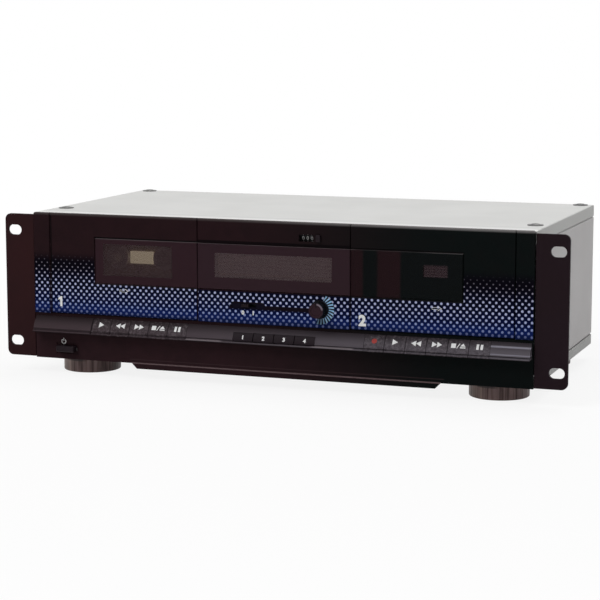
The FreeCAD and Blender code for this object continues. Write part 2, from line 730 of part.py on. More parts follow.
def side_panel(side):
    """Side sheet, joggled inwards under the cover's flange and the tray's flange."""
    low = TRAY_FLANGE + SEAM
    high = COVER_TOP - COVER_DROP - SEAM
    inner = CASE_HALF - SHEET
    step = CASE_HALF - JOGGLE
    step_inner = step - SHEET
    top = COVER_TOP - SHEET
    shelf = CASE_HALF - 2 * SCREW_INSET_X
    turn = 0.4 * SHEET
    outline = [(CASE_HALF, low + JOGGLE), (CASE_HALF, high - JOGGLE), (step, high), (step, top),
               (shelf, top), (shelf, top - SHEET), (step_inner, top - SHEET), (step_inner, high - turn),
               (inner, high - JOGGLE - turn), (inner, low + JOGGLE + turn), (step_inner, low + turn),
               (step_inner, SHEET), (step, SHEET), (step, low)]
    points = [(side * x, z) for x, z in outline]
    front = LOWER_FACE_Y + WALL + SHEET
    panel = plate_y(points, front, CASE_REAR)
    r = SCREW_SHANK_R + SCREW_HOLE_CLEARANCE
    holes = [rod_z(x, y, r, COVER_TOP - 4 * SHEET, COVER_TOP) for x, y in cover_screw_places()]
    for y, z in ear_screw_places():
        holes.append(rod_x(y, z, r, -CASE_HALF - 1, CASE_HALF + 1))
    return panel.cut(holes)


def bottom_tray():
    """Floor sheet with upturned edges, foot screw holes and air slots."""
    front = LOWER_FACE_Y + WALL
    flange = front + SHEET
    rear = CASE_REAR - SHEET
    slabs = [box(-CASE_HALF, CASE_HALF, front, CASE_REAR, 0, SHEET),
             box(-CASE_HALF, -CASE_HALF + SHEET, front, CASE_REAR, 0, TRAY_FLANGE),
             box(CASE_HALF - SHEET, CASE_HALF, front, CASE_REAR, 0, TRAY_FLANGE),
             box(-CASE_HALF, CASE_HALF, front, flange, 0, TRAY_FLANGE)]
    tray = joined(slabs)
    cuts = [rod_z(x, y, SCREW_SHANK_R + SCREW_HOLE_CLEARANCE, -1, 2 * SHEET) for x, y in foot_places()]
    for column in range(AIR_SLOT_COUNT):
        x = (column - 1) * AIR_SLOT_PITCH
        y = rear - AIR_SLOT_INSET - AIR_SLOT_LENGTH
        cuts.append(box(x, x + AIR_SLOT_WIDTH, y, y + AIR_SLOT_LENGTH, -1, 2 * SHEET))
    return tray.cut(cuts)


def rear_panel():
    """Rear sheet with jack holes, the cord gland's hole and a turned-in edge at each side."""
    half = CASE_HALF - JOGGLE - SHEET - FOLD_GAP
    top = COVER_TOP - 2 * SHEET - FOLD_GAP
    low = SHEET
    sheet = box(-half, half, CASE_REAR - SHEET, CASE_REAR, low, top)
    edges = [box(-half, -half + SHEET, CASE_REAR - SHEET - REAR_EDGE, CASE_REAR, low + 1, top - 1),
             box(half - SHEET, half, CASE_REAR - SHEET - REAR_EDGE, CASE_REAR, low + 1, top - 1),
             box(-half, half, CASE_REAR - SHEET - REAR_EDGE, CASE_REAR, low, low + SHEET)]
    panel = joined([sheet] + edges)
    cuts = [rod_y(x, z, JACK_R + 0.3, CASE_REAR - 2, CASE_REAR + 1) for x, z in jack_places()]
    cuts.append(rod_y(GLAND_X, GLAND_Z, GLAND_R, CASE_REAR - 2, CASE_REAR + 1))
    return panel.cut(cuts)


def jack_places():
    half = JACK_SPACING / 2
    columns = [(-1.5 * JACK_SPACING), (1.5 * JACK_SPACING)]
    return [(JACK_X + column, JACK_Z + row * half) for column in columns for row in (-1, 1)]


def line_jacks():
    """Two insulating plates, each with two jack sleeves."""
    blocks = []
    for column in (-1.5, 1.5):
        x = JACK_X + column * JACK_SPACING
        half = JACK_PLATE_WIDTH / 2
        plate = box(x - half, x + half, CASE_REAR, CASE_REAR + JACK_PLATE,
                    JACK_Z - JACK_SPACING, JACK_Z + JACK_SPACING)
        parts = [plate]
        cuts = []
        for row in (-1, 1):
            z = JACK_Z + row * JACK_SPACING / 2
            parts.append(rod_y(x, z, JACK_R, CASE_REAR - JACK_INSIDE, JACK_REACH))
            cuts.append(rod_y(x, z, JACK_BORE_R, CASE_REAR - JACK_BORE_INSIDE, JACK_REACH))
        blocks.append(joined(parts).cut(cuts))
    return blocks


def cord_gland():
    """Flanged bush in the rear panel, its bore open for a mains cord."""
    y = CASE_REAR
    points = [(GLAND_BORE_R, y - GLAND_IN), (GLAND_R - 1.2, y - GLAND_IN), (GLAND_R - 0.1, y - SHEET - 1),
              (GLAND_R - 0.1, y), (GLAND_R + 2.5, y), (GLAND_R + 2.5, y + 2), (GLAND_R - 1, y + GLAND_OUT),
              (GLAND_BORE_R, y + GLAND_OUT)]
    corners = [FreeCAD.Vector(GLAND_X + r, along, GLAND_Z) for r, along in points]
    face = Part.Face(Part.makePolygon(corners + corners[:1]))
    return face.revolve(FreeCAD.Vector(GLAND_X, 0, GLAND_Z), FreeCAD.Vector(0, 1, 0), 360)


def foot():
    """Round foot with a rim, a groove and a rounded lower edge, bored from below for its screw."""
    r = FOOT_R
    e = FOOT_EDGE
    g = FOOT_GROOVE
    h = FOOT_HEIGHT
    start = FreeCAD.Vector(0, 0, 0)
    rim = [start, FreeCAD.Vector(r, 0, 0), FreeCAD.Vector(r, 0, -g),
           FreeCAD.Vector(r - 1.2, 0, -g), FreeCAD.Vector(r - 1.2, 0, -2 * g),
           FreeCAD.Vector(r, 0, -2 * g), FreeCAD.Vector(r, 0, -(h - e))]
    turn = Part.Arc(rim[-1], FreeCAD.Vector(r - 0.3 * e, 0, -(h - 0.3 * e)), FreeCAD.Vector(r - e, 0, -h))
    edges = [Part.makeLine(a, b) for a, b in zip(rim[:-1], rim[1:])]
    edges.append(turn.toShape())
    edges.append(Part.makeLine(FreeCAD.Vector(r - e, 0, -h), FreeCAD.Vector(0, 0, -h)))
    edges.append(Part.makeLine(FreeCAD.Vector(0, 0, -h), start))
    body = Part.Face(Part.Wire(edges)).revolve(start, FreeCAD.Vector(0, 0, 1), 360)
    well = rod_z(0, 0, SCREW_HEAD_R + 1, -h, -foot_floor())
    hole = rod_z(0, 0, SCREW_SHANK_R + SCREW_HOLE_CLEARANCE, -h, 0)
    return body.cut([well, hole])


def main_board():
    """Board on spacers with its transformer, capacitors, cooling plate and chips."""
    z = MAIN_BOARD_Z + BOARD_THICKNESS
    parts = [box(MAIN_BOARD_X0, MAIN_BOARD_X1, MAIN_BOARD_Y0, MAIN_BOARD_Y1, MAIN_BOARD_Z, z)]
    for x in (MAIN_BOARD_X0 + SPACER_INSET, MAIN_BOARD_X1 - SPACER_INSET):
        for y in (MAIN_BOARD_Y0 + SPACER_INSET, MAIN_BOARD_Y1 - SPACER_INSET):
            parts.append(rod_z(x, y, SPACER_R, SHEET, MAIN_BOARD_Z))
    x0 = MAIN_BOARD_X0 + TRANSFORMER_INSET_X
    x1 = x0 + TRANSFORMER_WIDTH
    y0 = MAIN_BOARD_Y0 + TRANSFORMER_INSET_Y
    y1 = y0 + TRANSFORMER_CORE
    top = z + TRANSFORMER_HEIGHT
    parts.append(box(x0, x1, y0, y1, z, top))
    parts.append(box(x0 + COIL_INSET, x1 - COIL_INSET, y0 - COIL_PROUD, y1 + COIL_PROUD,
                     z, top - COIL_INSET))
    y = MAIN_BOARD_Y0 + CAPACITOR_INSET_Y
    for n in range(CAPACITOR_COUNT):
        x = MAIN_BOARD_X0 + CAPACITOR_INSET_X + n * CAPACITOR_PITCH
        parts.append(rod_z(x, y, CAPACITOR_R, z, z + CAPACITOR_HEIGHT))
    x = MAIN_BOARD_X1 - COOLER_INSET_X
    middle = (MAIN_BOARD_Y0 + MAIN_BOARD_Y1) / 2
    parts.append(box(x, x + COOLER_THICKNESS, middle - COOLER_LENGTH / 2, middle + COOLER_LENGTH / 2,
                     z, z + COOLER_HEIGHT))
    y = MAIN_BOARD_Y0 + CHIP_INSET_Y
    for n in range(CHIP_COUNT):
        x = MAIN_BOARD_X0 + CAPACITOR_INSET_X + n * CHIP_PITCH
        parts.append(box(x, x + CHIP_WIDTH, y, y + CHIP_DEPTH, z, z + CHIP_HEIGHT))
    return joined(parts)


def front_board():
    """Board behind the centre section with the display, level pot and switch bodies."""
    y0 = BOARD_Y
    slab = box(-BOARD_HALF, BOARD_HALF, y0, y0 + BOARD_THICKNESS, BOARD_BOTTOM, BOARD_TOP)
    display = box(-METER_HALF + DISPLAY_MARGIN, METER_HALF - DISPLAY_MARGIN, DISPLAY_FRONT, y0,
                  METER_BOTTOM + DISPLAY_MARGIN, METER_TOP - DISPLAY_MARGIN)
    pot = rod_y(KNOB_X, KNOB_Z, 8, 5, y0)
    switch = box(SWITCH_X - 10, SWITCH_X + 10, SWITCH_BODY_Y, y0, SWITCH_Z - 4, SWITCH_Z + 4)
    parts = [slab, display, pot, switch]
    for x in button_middles():
        parts.append(box(x - 3, x + 3, 9.5, y0, BUTTON_STEM_Z - 3, BUTTON_STEM_Z + 3))
        parts.append(rod_y(x, BUTTON_STEM_Z, 1.7, BUTTON_SWITCH_Y, y0))
    for x in (-BOARD_HALF + 5, BOARD_HALF - 5):
        parts.append(rod_y(x, BOARD_BOTTOM + 20, 2.5, FACE_Y + WALL, y0))
        parts.append(rod_y(x, METER_TOP + 4, 2.5, FACE_Y + WALL + SHELF, y0))
    bore = rod_y(KNOB_X, KNOB_Z, KNOB_SHAFT_R + RUNNING, 5, y0 - 1)
    return joined(parts).cut(bore)


def button_middles():
    first = BUTTON_MIDDLE - (BUTTON_COUNT - 1) / 2 * BUTTON_PITCH
    return [first + n * BUTTON_PITCH for n in range(BUTTON_COUNT)]


def push_button(x):
    """One ledge button: its face follows the ledge, its stem reaches the switch."""
    half = BUTTON_WIDTH / 2
    bar = ledge_bar(x - half, x + half, LOWER_FACE_Y)
    block = box(x - half, x + half, -LEDGE_REACH, -BUTTON_TRAVEL - SEAT_GAP, BUTTON_BOTTOM, BUTTON_TOP)
    cap = bar.common(block)
    reach = BUTTON_SWITCH_Y - BUTTON_TRAVEL - SEAT_GAP
    stem = box(x - 3, x + 3, -BUTTON_TRAVEL - SEAT_GAP - 1, reach, BUTTON_STEM_Z - 2, BUTTON_STEM_Z + 2)
    return joined([cap, stem])


def deck_key(side, place):
    """Cap with the ledge's slope, stem through the panel and lever down to the rod."""
    x = key_x(side, place)
    half = (KEY_PITCH - KEY_GAP) / 2
    cap = ledge_bar(x - half, x + half, -KEY_BACK_GAP)
    bore = rod_x(KEY_PIVOT_Y, KEY_PIVOT_Z, KEY_ROD_R + RUNNING, x - half, x + half)
    half = KEY_STEM_WIDTH / 2
    stem = box(x - half, x + half, -KEY_BACK_GAP, WALL + 2, KEY_STEM_BOTTOM, KEY_STEM_TOP)
    half = KEY_LEVER_WIDTH / 2
    outline = [(WALL + 1, KEY_STEM_BOTTOM), (WALL + 1, KEY_STEM_TOP), (WALL + 8, KEY_STEM_TOP - 1),
               (KEY_PIVOT_Y, KEY_PIVOT_Z + KEY_BOSS_R), (KEY_PIVOT_Y, KEY_PIVOT_Z - KEY_BOSS_R),
               (WALL + 10, KEY_STEM_BOTTOM - 2.5)]
    lever = plate_x(outline, x - half, x + half)
    boss = rod_x(KEY_PIVOT_Y, KEY_PIVOT_Z, KEY_BOSS_R, x - half, x + half)
    return joined([cap, stem, lever, boss]).cut(bore)


def power_button():
    """Oblong button with a flat stem that ends just before its switch."""
    half = POWER_WIDTH / 2
    height = POWER_HEIGHT / 2
    front = LOWER_FACE_Y - POWER_PROUD
    panel_back = LOWER_FACE_Y + WALL
    back = panel_back - POWER_TRAVEL - FOLD_GAP
    cap = bevel_face(box(POWER_X - half, POWER_X + half, front, back, POWER_Z - height, POWER_Z + height),
                     front, FACE_BEVEL)
    half = POWER_STEM_WIDTH / 2
    tip = panel_back + POWER_CHANNEL - POWER_TRAVEL - SEAT_GAP
    stem = box(POWER_X - half, POWER_X + half, back - 1, tip, TRAY_FLANGE + SEAM, POWER_STEM_TOP)
    return joined([cap, stem])


def level_knob():
    """Knob with a flange, a fluted grip, a dished face with a pointer groove, and its shaft."""
    flange_back = FACE_Y - 0.4
    grip_back = flange_back - KNOB_FLANGE
    flange = rod_y(KNOB_X, KNOB_Z, KNOB_FLANGE_R, grip_back, flange_back)
    grip = Part.makeCone(KNOB_R, KNOB_R - KNOB_TAPER, grip_back - KNOB_FRONT,
                         FreeCAD.Vector(KNOB_X, grip_back, KNOB_Z), FreeCAD.Vector(0, -1, 0))
    cuts = []
    for n in range(KNOB_FLUTE_COUNT):
        turn = 2 * math.pi * n / KNOB_FLUTE_COUNT
        x = KNOB_X + KNOB_R * math.cos(turn)
        z = KNOB_Z + KNOB_R * math.sin(turn)
        cuts.append(rod_y(x, z, KNOB_FLUTE_R, KNOB_FRONT - 1, grip_back))
    cuts.append(box(KNOB_X - 0.6, KNOB_X + 0.6, KNOB_FRONT - 1, KNOB_FRONT + 0.8,
                    KNOB_Z + 2.4, KNOB_Z + KNOB_R))
    cuts.append(rod_y(KNOB_X, KNOB_Z, KNOB_DISH_R, KNOB_FRONT - 1, KNOB_FRONT + 0.5))
    shaft = rod_y(KNOB_X, KNOB_Z, KNOB_SHAFT_R, flange_back - 1, BOARD_Y - 2)
    return joined([flange, grip.cut(cuts), shaft])


def mode_switch():
    """Slider with a ribbed cap in the recess, resting at its left stop."""
    x = SWITCH_X - SWITCH_TRAVEL / 2
    half = SWITCH_CAP_LENGTH / 2
    height = SWITCH_SLOT_HEIGHT / 2
    height -= SWITCH_CLEARANCE
    cap = box(x - half, x + half, FACE_Y - SWITCH_CAP_PROUD, FACE_Y + WALL,
              SWITCH_Z - height, SWITCH_Z + height)
    front = FACE_Y - SWITCH_CAP_PROUD
    ribs = [box(x + n * 1.8 - 0.35, x + n * 1.8 + 0.35, front, front + 0.5,
                SWITCH_Z - height, SWITCH_Z + height) for n in (-1, 0, 1)]
    stem = box(x - 2, x + 2, FACE_Y, SWITCH_BODY_Y - SEAT_GAP, SWITCH_Z - height, SWITCH_Z + height)
    return joined([cap.cut(ribs), stem])


def counter_frame():
    """Cheeks, rear bar and shaft that hold the number wheels behind their window."""
    half = 1.5 * COUNTER_WHEEL_PITCH + 0.5
    front = FACE_Y + WALL
    rear = COUNTER_AXIS_Y + COUNTER_WHEEL_R + 0.8
    z0 = LENS_TOP + SHELF + FOLD_GAP
    z1 = COUNTER_Z + COUNTER_WHEEL_R
    parts = []
    for side in (-1, 1):
        x0, x1 = sorted((COUNTER_X + side * half, COUNTER_X + side * (half + COUNTER_CHEEK)))
        parts.append(box(x0, x1, front, rear + COUNTER_CHEEK, z0, z1))
    parts.append(box(COUNTER_X - half, COUNTER_X + half, rear, rear + COUNTER_CHEEK, z0, z1))
    stop = RESET_X + RESET_WIDTH / 2
    parts.append(box(COUNTER_X + half, stop, rear, rear + COUNTER_CHEEK, z0 + 2, z1 - 2))
    parts.append(rod_x(COUNTER_AXIS_Y, COUNTER_Z, HUB_PIN_R, COUNTER_X - half, COUNTER_X + half))
    return joined(parts)


def counter_wheel(place):
    """One number wheel, place 0 at the left."""
    x = COUNTER_X + (place - 1) * COUNTER_WHEEL_PITCH
    half = COUNTER_WHEEL_WIDTH / 2
    wheel = rod_x(COUNTER_AXIS_Y, COUNTER_Z, COUNTER_WHEEL_R, x - half, x + half)
    bore = rod_x(COUNTER_AXIS_Y, COUNTER_Z, HUB_PIN_R + RUNNING, x - half, x + half)
    return wheel.cut(bore)


def counter_reset():
    """Reset button whose stem ends just before the counter's rear bar."""
    rear = COUNTER_AXIS_Y + COUNTER_WHEEL_R + 0.8
    cap = box(RESET_X - RESET_WIDTH / 2, RESET_X + RESET_WIDTH / 2, FACE_Y - RESET_PROUD, FACE_Y + WALL + 1,
              COUNTER_Z - RESET_HEIGHT / 2, COUNTER_Z + RESET_HEIGHT / 2)
    cap = bevel_face(cap, FACE_Y - RESET_PROUD, 0.4)
    reach = rear - RESET_TRAVEL - SEAT_GAP
    stem = box(RESET_X - 1, RESET_X + 1, FACE_Y + WALL, reach, COUNTER_Z - 1.2, COUNTER_Z + 1.2)
    return joined([cap, stem])


def door_front(side):
    """Printed front plate with the notch for its window and a hinge pin at each lower corner."""
    x0, x1 = door_span(side)
    plate = box(x0, x1, FACE_Y, FACE_Y + WALL, DOOR_BOTTOM, PANEL_TOP)
    w0, w1 = lens_span(side)
    gap = LENS_GAP / 2
    outer = LENS_GAP
    if side < 0:
        w0, w1 = w0 - outer, x1 + 1
    else:
        w0, w1 = x0 - 1, w1 + outer
    notch = box(w0, w1, FACE_Y, FACE_Y + WALL, LENS_BOTTOM - gap, LENS_TOP + gap)
    plate = bevel_face(plate.cut(notch), FACE_Y, FACE_BEVEL)
    pins = [rod_x(DOOR_HINGE_Y, DOOR_HINGE_Z, HINGE_PIN_R, x0 - HINGE_PIN_LENGTH, x0 + HINGE_PIN_LENGTH),
            rod_x(DOOR_HINGE_Y, DOOR_HINGE_Z, HINGE_PIN_R, x1 - HINGE_PIN_LENGTH, x1 + HINGE_PIN_LENGTH)]
    return joined([plate] + pins)


def door_window(side):
    x0, x1 = lens_span(side)
    gap = LENS_GAP / 2
    lens = box(x0, x1, FACE_Y, FACE_Y + WALL, LENS_BOTTOM + gap, LENS_TOP - gap)
    return bevel_face(lens, FACE_Y, FACE_BEVEL)


def cassette_holder(side):
    """Window frame, side channels and ledges that carry a cassette behind the door."""
    x0, x1 = door_span(side)
    front = FACE_Y + WALL
    back = front + HOLDER_WALL
    depth = back + CASSETTE_THICKNESS + POCKET_CLEARANCE
    frame = box(x0, x1, front, back, DOOR_BOTTOM + 0.8, RAIL_TOP - 0.8)
    w0, w1 = lens_span(side)
    opening = box(w0 + LENS_REST, w1 - LENS_REST, front, back, LENS_BOTTOM + LENS_REST, LENS_TOP - LENS_REST)
    parts = [frame.cut(opening)]
    middle = side * MECHANISM_X
    inner = CASSETTE_WIDTH / 2 + POCKET_CLEARANCE
    outer = inner + HOLDER_WALL
    for hand in (-1, 1):
        a, b = sorted((middle + hand * inner, middle + hand * outer))
        parts.append(box(a, b, back, depth + HOLDER_WALL, CASSETTE_BOTTOM - HOLDER_WALL, HOLDER_SIDE_TOP))
        a, b = sorted((middle + hand * (inner - HOLDER_LIP), middle + hand * outer))
        parts.append(box(a, b, depth, depth + HOLDER_WALL, CASSETTE_BOTTOM - HOLDER_WALL, HOLDER_SIDE_TOP))
        a, b = sorted((middle + hand * (inner - HOLDER_LEDGE), middle + hand * outer))
        parts.append(box(a, b, back, depth + HOLDER_WALL, CASSETTE_BOTTOM - HOLDER_WALL, CASSETTE_BOTTOM))
    return joined(parts)


def well_panel(side):
    """Back wall of a door well: reel window, head slot and posts for the chassis."""
    x0, x1 = sorted((side * (DOOR_INNER - WELL_WALL), side * (DOOR_OUTER + WELL_WALL)))
    y0 = WELL_DEPTH
    y1 = WELL_DEPTH + WELL_PANEL
    sheet = box(x0, x1, y0, y1, LOWER_TOP - SHELF, RAIL_TOP)
    middle = side * MECHANISM_X
    posts = [rod_y(middle + x, z, POST_R, y1, CHASSIS_Y) for x, z in post_places()]
    window = box(middle - WELL_WINDOW_HALF, middle + WELL_WINDOW_HALF, y0, y1,
                 WELL_WINDOW_BOTTOM, WELL_WINDOW_TOP)
    slot = box(middle - HEAD_SLOT_LEFT, middle + HEAD_SLOT_RIGHT, y0, y1, HEAD_SLOT_BOTTOM, HEAD_SLOT_TOP)
    return joined([sheet] + posts).cut([window, slot])


def post_places():
    return [(side * POST_SIDE, z) for side in (-1, 1) for z in (POST_LOW, POST_TOP)]


def deck_chassis(side):
    """Steel plate with hub pins, bearing, slide posts, thrust bridge, cheeks and key rod."""
    middle = side * MECHANISM_X
    y0 = CHASSIS_Y
    y1 = CHASSIS_Y + CHASSIS_SHEET
    plate = box(middle - CHASSIS_LEFT, middle + CHASSIS_RIGHT, y0, y1, CHASSIS_BOTTOM, CHASSIS_TOP)
    parts = [plate]
    foot_z = KEY_PIVOT_Z - KEY_BOSS_R
    for x0 in (middle - CHASSIS_LEFT, middle + CHASSIS_RIGHT - CHASSIS_SHEET):
        outline = [(y0, CHASSIS_BOTTOM + 20), (y0, foot_z), (KEY_PIVOT_Y + KEY_BOSS_R, foot_z),
                   (KEY_PIVOT_Y + KEY_BOSS_R, CHASSIS_BOTTOM + 8)]
        parts.append(plate_x(outline, x0, x0 + CHASSIS_SHEET))
    parts.append(rod_x(KEY_PIVOT_Y, KEY_PIVOT_Z, KEY_ROD_R, middle - CHASSIS_LEFT, middle + CHASSIS_RIGHT))
    for hand in (-1, 1):
        parts.append(rod_y(middle + hand * HUB_HALF_SPACING, HUB_Z, HUB_PIN_R, HUB_TIP_Y + 5, y0))
    capstan_x = middle + CAPSTAN_X
    parts.append(rod_y(capstan_x, CAPSTAN_Z, BEARING_R, BEARING_FRONT, FLYWHEEL_FRONT - SEAT_GAP))
    parts.append(box(middle - REFLECTOR_HALF, middle + REFLECTOR_HALF, REFLECTOR_FRONT, y0,
                     HUB_Z - REFLECTOR_HEIGHT / 2, HUB_Z + REFLECTOR_HEIGHT / 2))
    for x in slide_post_places():
        shoulder = HEAD_PLATE_Y + HEAD_PLATE_SHEET + SEAT_GAP
        parts.append(rod_y(middle + x, SLIDE_POST_Z, SLIDE_POST_R + 1, shoulder, y0))
        parts.append(rod_y(middle + x, SLIDE_POST_Z, SLIDE_POST_R, HEAD_PLATE_Y - 0.8, y0))
    parts += thrust_bridge(capstan_x, y1)
    parts += motor_posts(middle, y1)
    bore = rod_y(capstan_x, CAPSTAN_Z, CAPSTAN_R + RUNNING, BEARING_FRONT - 1, FLYWHEEL_FRONT)
    return joined(parts).cut(bore)


def slide_post_places():
    return [-SLIDE_POST_X, 0.5 * HEAD_WIDTH + 3.6]


def thrust_bridge(x, y0):
    """Strap behind the flywheel on two legs."""
    reach = FLYWHEEL_R + 3
    strap = box(x - 5, x + 5, BRIDGE_Y, BRIDGE_Y + CHASSIS_SHEET, CAPSTAN_Z - 4, CAPSTAN_Z + reach + 3)
    upper = box(x - 5, x + 5, y0, BRIDGE_Y, CAPSTAN_Z + reach, CAPSTAN_Z + reach + 3)
    return [strap, upper]


def motor_posts(middle, y0):
    """Three posts that carry the motor clear of the belt."""
    posts = []
    for turn in (100, 180, 260):
        a = math.radians(turn)
        x = middle + MOTOR_X + (MOTOR_R - 2.5) * math.cos(a)
        z = MOTOR_Z + (MOTOR_R - 2.5) * math.sin(a)
        posts.append(rod_y(x, z, 2, y0, MOTOR_FRONT))
    return posts


def drive_motor(side):
    """Motor can with its bearing boss, bored for the spindle."""
    x = side * MECHANISM_X + MOTOR_X
    can = rod_y(x, MOTOR_Z, MOTOR_R, MOTOR_FRONT, MOTOR_FRONT + MOTOR_LENGTH)
    boss = rod_y(x, MOTOR_Z, MOTOR_BOSS_R, MOTOR_FRONT - MOTOR_BOSS, MOTOR_FRONT)
    rim = [e for e in can.Edges if len(e.Vertexes) == 1]
    can = can.makeFillet(1.5, rim)
    bore = rod_y(x, MOTOR_Z, SPINDLE_R + RUNNING, MOTOR_FRONT - MOTOR_BOSS, MOTOR_FRONT + SPINDLE_DEPTH)
    return joined([can, boss]).cut(bore)


def motor_pulley(side):
    """Grooved pulley on the motor's spindle."""
    x = side * MECHANISM_X + MOTOR_X
    groove = belt_y()
    half = BELT / 2 + SEAT_GAP
    rim = PULLEY_R + 1
    y0 = groove - PULLEY_WIDTH / 2
    y1 = groove + PULLEY_WIDTH / 2
    end = MOTOR_FRONT + SPINDLE_DEPTH - SEAT_GAP
    points = [(0, y0), (rim, y0), (rim, groove - half - 0.5), (PULLEY_R, groove - half),
              (PULLEY_R, groove + half), (rim, groove + half + 0.5), (rim, y1), (SPINDLE_R, y1),
              (SPINDLE_R, end), (0, end)]
    corners = [FreeCAD.Vector(x + r, y, MOTOR_Z) for r, y in points]
    face = Part.Face(Part.makePolygon(corners + corners[:1]))
    return face.revolve(FreeCAD.Vector(x, 0, MOTOR_Z), FreeCAD.Vector(0, 1, 0), 360)


def belt_y():
    """Middle plane of the belt."""
    return FLYWHEEL_FRONT + FLYWHEEL_THICKNESS / 2


def belt_loop(side, extra):
    """Outline round pulley and flywheel, grown by extra, as one face."""
    x0 = side * MECHANISM_X + MOTOR_X
    x1 = side * MECHANISM_X + CAPSTAN_X
    r0 = PULLEY_R + extra
    r1 = FLYWHEEL_R + extra
    dx = x1 - x0
    dz = CAPSTAN_Z - MOTOR_Z
    length = math.hypot(dx, dz)
    along = math.atan2(dz, dx)
    lean = math.acos((r0 - r1) / length)
    y = belt_y() - BELT / 2

    def on(x, z, r, turn):
        return FreeCAD.Vector(x + r * math.cos(turn), y, z + r * math.sin(turn))

    up = along + lean
    down = along - lean
    a0 = on(x0, MOTOR_Z, r0, up)
    a1 = on(x0, MOTOR_Z, r0, down)
    b0 = on(x1, CAPSTAN_Z, r1, up)
    b1 = on(x1, CAPSTAN_Z, r1, down)
    far_motor = on(x0, MOTOR_Z, r0, along + math.pi)
    far_wheel = on(x1, CAPSTAN_Z, r1, along)
    edges = [Part.Arc(a0, far_motor, a1).toShape(), Part.makeLine(a1, b1),
             Part.Arc(b1, far_wheel, b0).toShape(), Part.makeLine(b0, a0)]
    return Part.Face(Part.Wire(edges))


def drive_belt(side):
    outer = belt_loop(side, BELT + SEAT_GAP).extrude(FreeCAD.Vector(0, BELT, 0))
    inner = belt_loop(side, SEAT_GAP).extrude(FreeCAD.Vector(0, BELT, 0))
    return outer.cut(inner)


def flywheel(side):
    """Flywheel with a belt groove, pressed on the capstan shaft."""
    x = side * MECHANISM_X + CAPSTAN_X
    y0 = FLYWHEEL_FRONT
    y1 = FLYWHEEL_FRONT + FLYWHEEL_THICKNESS
    groove = belt_y()
    half = BELT / 2 + SEAT_GAP
    points = [(0, y0), (5, y0), (5, y0 + 1.2), (FLYWHEEL_R - 5, y0 + 1.2), (FLYWHEEL_R - 5, y0),
              (FLYWHEEL_R + 1, y0), (FLYWHEEL_R + 1, groove - half - 0.6), (FLYWHEEL_R, groove - half),
              (FLYWHEEL_R, groove + half), (FLYWHEEL_R + 1, groove + half + 0.6), (FLYWHEEL_R + 1, y1),
              (FLYWHEEL_R - 5, y1), (FLYWHEEL_R - 5, y1 - 2.4), (5, y1 - 2.4), (5, y1), (0, y1)]
    corners = [FreeCAD.Vector(x + r, y, CAPSTAN_Z) for r, y in points]
    face = Part.Face(Part.makePolygon(corners + corners[:1]))
    wheel = face.revolve(FreeCAD.Vector(x, 0, CAPSTAN_Z), FreeCAD.Vector(0, 1, 0), 360)
    shaft = rod_y(x, CAPSTAN_Z, CAPSTAN_R, CAPSTAN_TIP_Y, BRIDGE_Y - SEAT_GAP)
    return joined([wheel, shaft])


def reel_hub(side, hand):
    """Finned spindle with a pointed tip on a flanged base, bored for its pin."""
    x = side * MECHANISM_X + hand * HUB_HALF_SPACING
    disc_back = HUB_DISC_FRONT + HUB_DISC_THICKNESS
    base = CHASSIS_Y - SEAT_GAP
    tip = 2.2
    points = [(0, HUB_TIP_Y), (1.4, HUB_TIP_Y), (HUB_SHAFT_R, HUB_TIP_Y + tip),
              (HUB_SHAFT_R, HUB_DISC_FRONT),
              (HUB_DISC_R, HUB_DISC_FRONT), (HUB_DISC_R, disc_back), (4, disc_back), (4, base), (0, base)]
    corners = [FreeCAD.Vector(x + r, y, HUB_Z) for r, y in points]
    face = Part.Face(Part.makePolygon(corners + corners[:1]))
    body = face.revolve(FreeCAD.Vector(x, 0, HUB_Z), FreeCAD.Vector(0, 1, 0), 360)
    parts = [body]
    for n in range(HUB_FINS):
        outline = [(HUB_TIP_Y + tip, 0), (HUB_TIP_Y + tip, HUB_SHAFT_R), (HUB_TIP_Y + tip + 1.6, HUB_FIN_R),
                   (HUB_DISC_FRONT, HUB_FIN_R), (HUB_DISC_FRONT, 0)]
        fin = plate_x(outline, -HUB_FIN_WIDTH / 2, HUB_FIN_WIDTH / 2)
        fin.rotate(FreeCAD.Vector(0, 0, 0), FreeCAD.Vector(0, 1, 0), 360 * n / HUB_FINS)
        parts.append(fin.translated(FreeCAD.Vector(x, 0, HUB_Z)))
    bore = rod_y(x, HUB_Z, HUB_PIN_R + RUNNING, HUB_TIP_Y + 5 - SEAT_GAP, base)
    return joined(parts).cut(bore)


